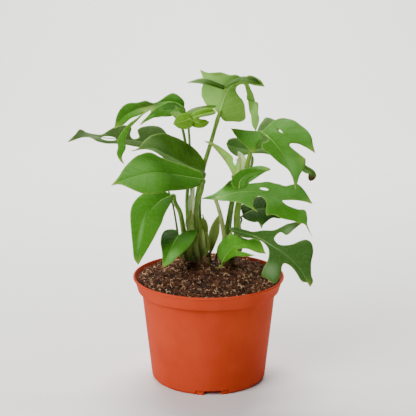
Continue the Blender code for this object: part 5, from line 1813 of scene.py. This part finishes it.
class StageSettings(bpy.types.PropertyGroup):
    key_power: share("Key", "Power of the light from the left", 32.0, 500.0)
    fill_power: share("Fill", "Power of the light from the right", 0.5, 500.0)
    top_power: share("Overhead", "Power of the light from above", 5.0, 500.0)
    back_power: share("Backdrop", "Power of the light on the backdrop", 90.0, 500.0)
    sky: share("Sky", "Strength of the light all round", 0.13, 5.0)


class PHILODENDRON_OT_stage(bpy.types.Operator):
    """Make the floor, the lights and the camera"""

    bl_idname = "philodendron.stage"
    bl_label = "Stage"

    def execute(self, context):
        make_stage(context.scene.philodendron_stage)
        return {"FINISHED"}


class PHILODENDRON_OT_pot(bpy.types.Operator):
    """Make the nursery pot"""

    bl_idname = "philodendron.pot"
    bl_label = "Pot"

    def execute(self, context):
        make_pot(context.scene.philodendron_pot)
        return {"FINISHED"}


class PHILODENDRON_OT_soil(bpy.types.Operator):
    """Make the rough soil with its crumbs, threads, flakes, beads and chips"""

    bl_idname = "philodendron.soil"
    bl_label = "Soil"

    def execute(self, context):
        make_soil(context.scene.philodendron_soil)
        return {"FINISHED"}


class PHILODENDRON_OT_stems(bpy.types.Operator):
    """Make the stems and the dry petioles"""

    bl_idname = "philodendron.stems"
    bl_label = "Stems"

    def execute(self, context):
        make_stems(context.scene.philodendron_stalks)
        return {"FINISHED"}


class PHILODENDRON_OT_petioles(bpy.types.Operator):
    """Make the petioles"""

    bl_idname = "philodendron.petioles"
    bl_label = "Petioles"

    def execute(self, context):
        make_petioles(context.scene.philodendron_stalks)
        return {"FINISHED"}


class PHILODENDRON_OT_husks(bpy.types.Operator):
    """Make the dry leaf bases round the crown"""

    bl_idname = "philodendron.husks"
    bl_label = "Husks"

    def execute(self, context):
        make_husks(context.scene.philodendron_stalks)
        return {"FINISHED"}


class PHILODENDRON_OT_blades(bpy.types.Operator):
    """Make the leaf blades"""

    bl_idname = "philodendron.blades"
    bl_label = "Blades"

    def execute(self, context):
        make_blades(context.scene.philodendron_blades)
        return {"FINISHED"}


GROUPS = {
    "philodendron_stage": StageSettings,
    "philodendron_pot": PotSettings,
    "philodendron_soil": SoilSettings,
    "philodendron_stalks": StalkSettings,
    "philodendron_blades": BladeSettings,
}
OPERATORS = (
    PHILODENDRON_OT_stage,
    PHILODENDRON_OT_pot,
    PHILODENDRON_OT_soil,
    PHILODENDRON_OT_stems,
    PHILODENDRON_OT_petioles,
    PHILODENDRON_OT_husks,
    PHILODENDRON_OT_blades,
)


class PHILODENDRON_PT_panel(bpy.types.Panel):
    """The plant's settings and the buttons that make its pieces"""

    bl_label = "Potted philodendron"
    bl_idname = "PHILODENDRON_PT_panel"
    bl_space_type = "VIEW_3D"
    bl_region_type = "UI"
    bl_category = "Philodendron"

    def draw(self, context):
        for name, group in GROUPS.items():
            box = self.layout.box()
            for field in group.__annotations__:
                box.prop(getattr(context.scene, name), field)
        for operator in OPERATORS:
            self.layout.operator(operator.bl_idname)


def register():
    for item in (*GROUPS.values(), *OPERATORS, PHILODENDRON_PT_panel):
        bpy.utils.register_class(item)
    for name, group in GROUPS.items():
        setattr(bpy.types.Scene, name, bpy.props.PointerProperty(type=group))


def unregister():
    for name in GROUPS:
        delattr(bpy.types.Scene, name)
    for item in (PHILODENDRON_PT_panel, *OPERATORS[::-1], *GROUPS.values()):
        bpy.utils.unregister_class(item)


def main():
    register()
    for operator in OPERATORS:
        group, action = operator.bl_idname.split(".")
        getattr(getattr(bpy.ops, group), action)()


if __name__ == "__main__":
    main()
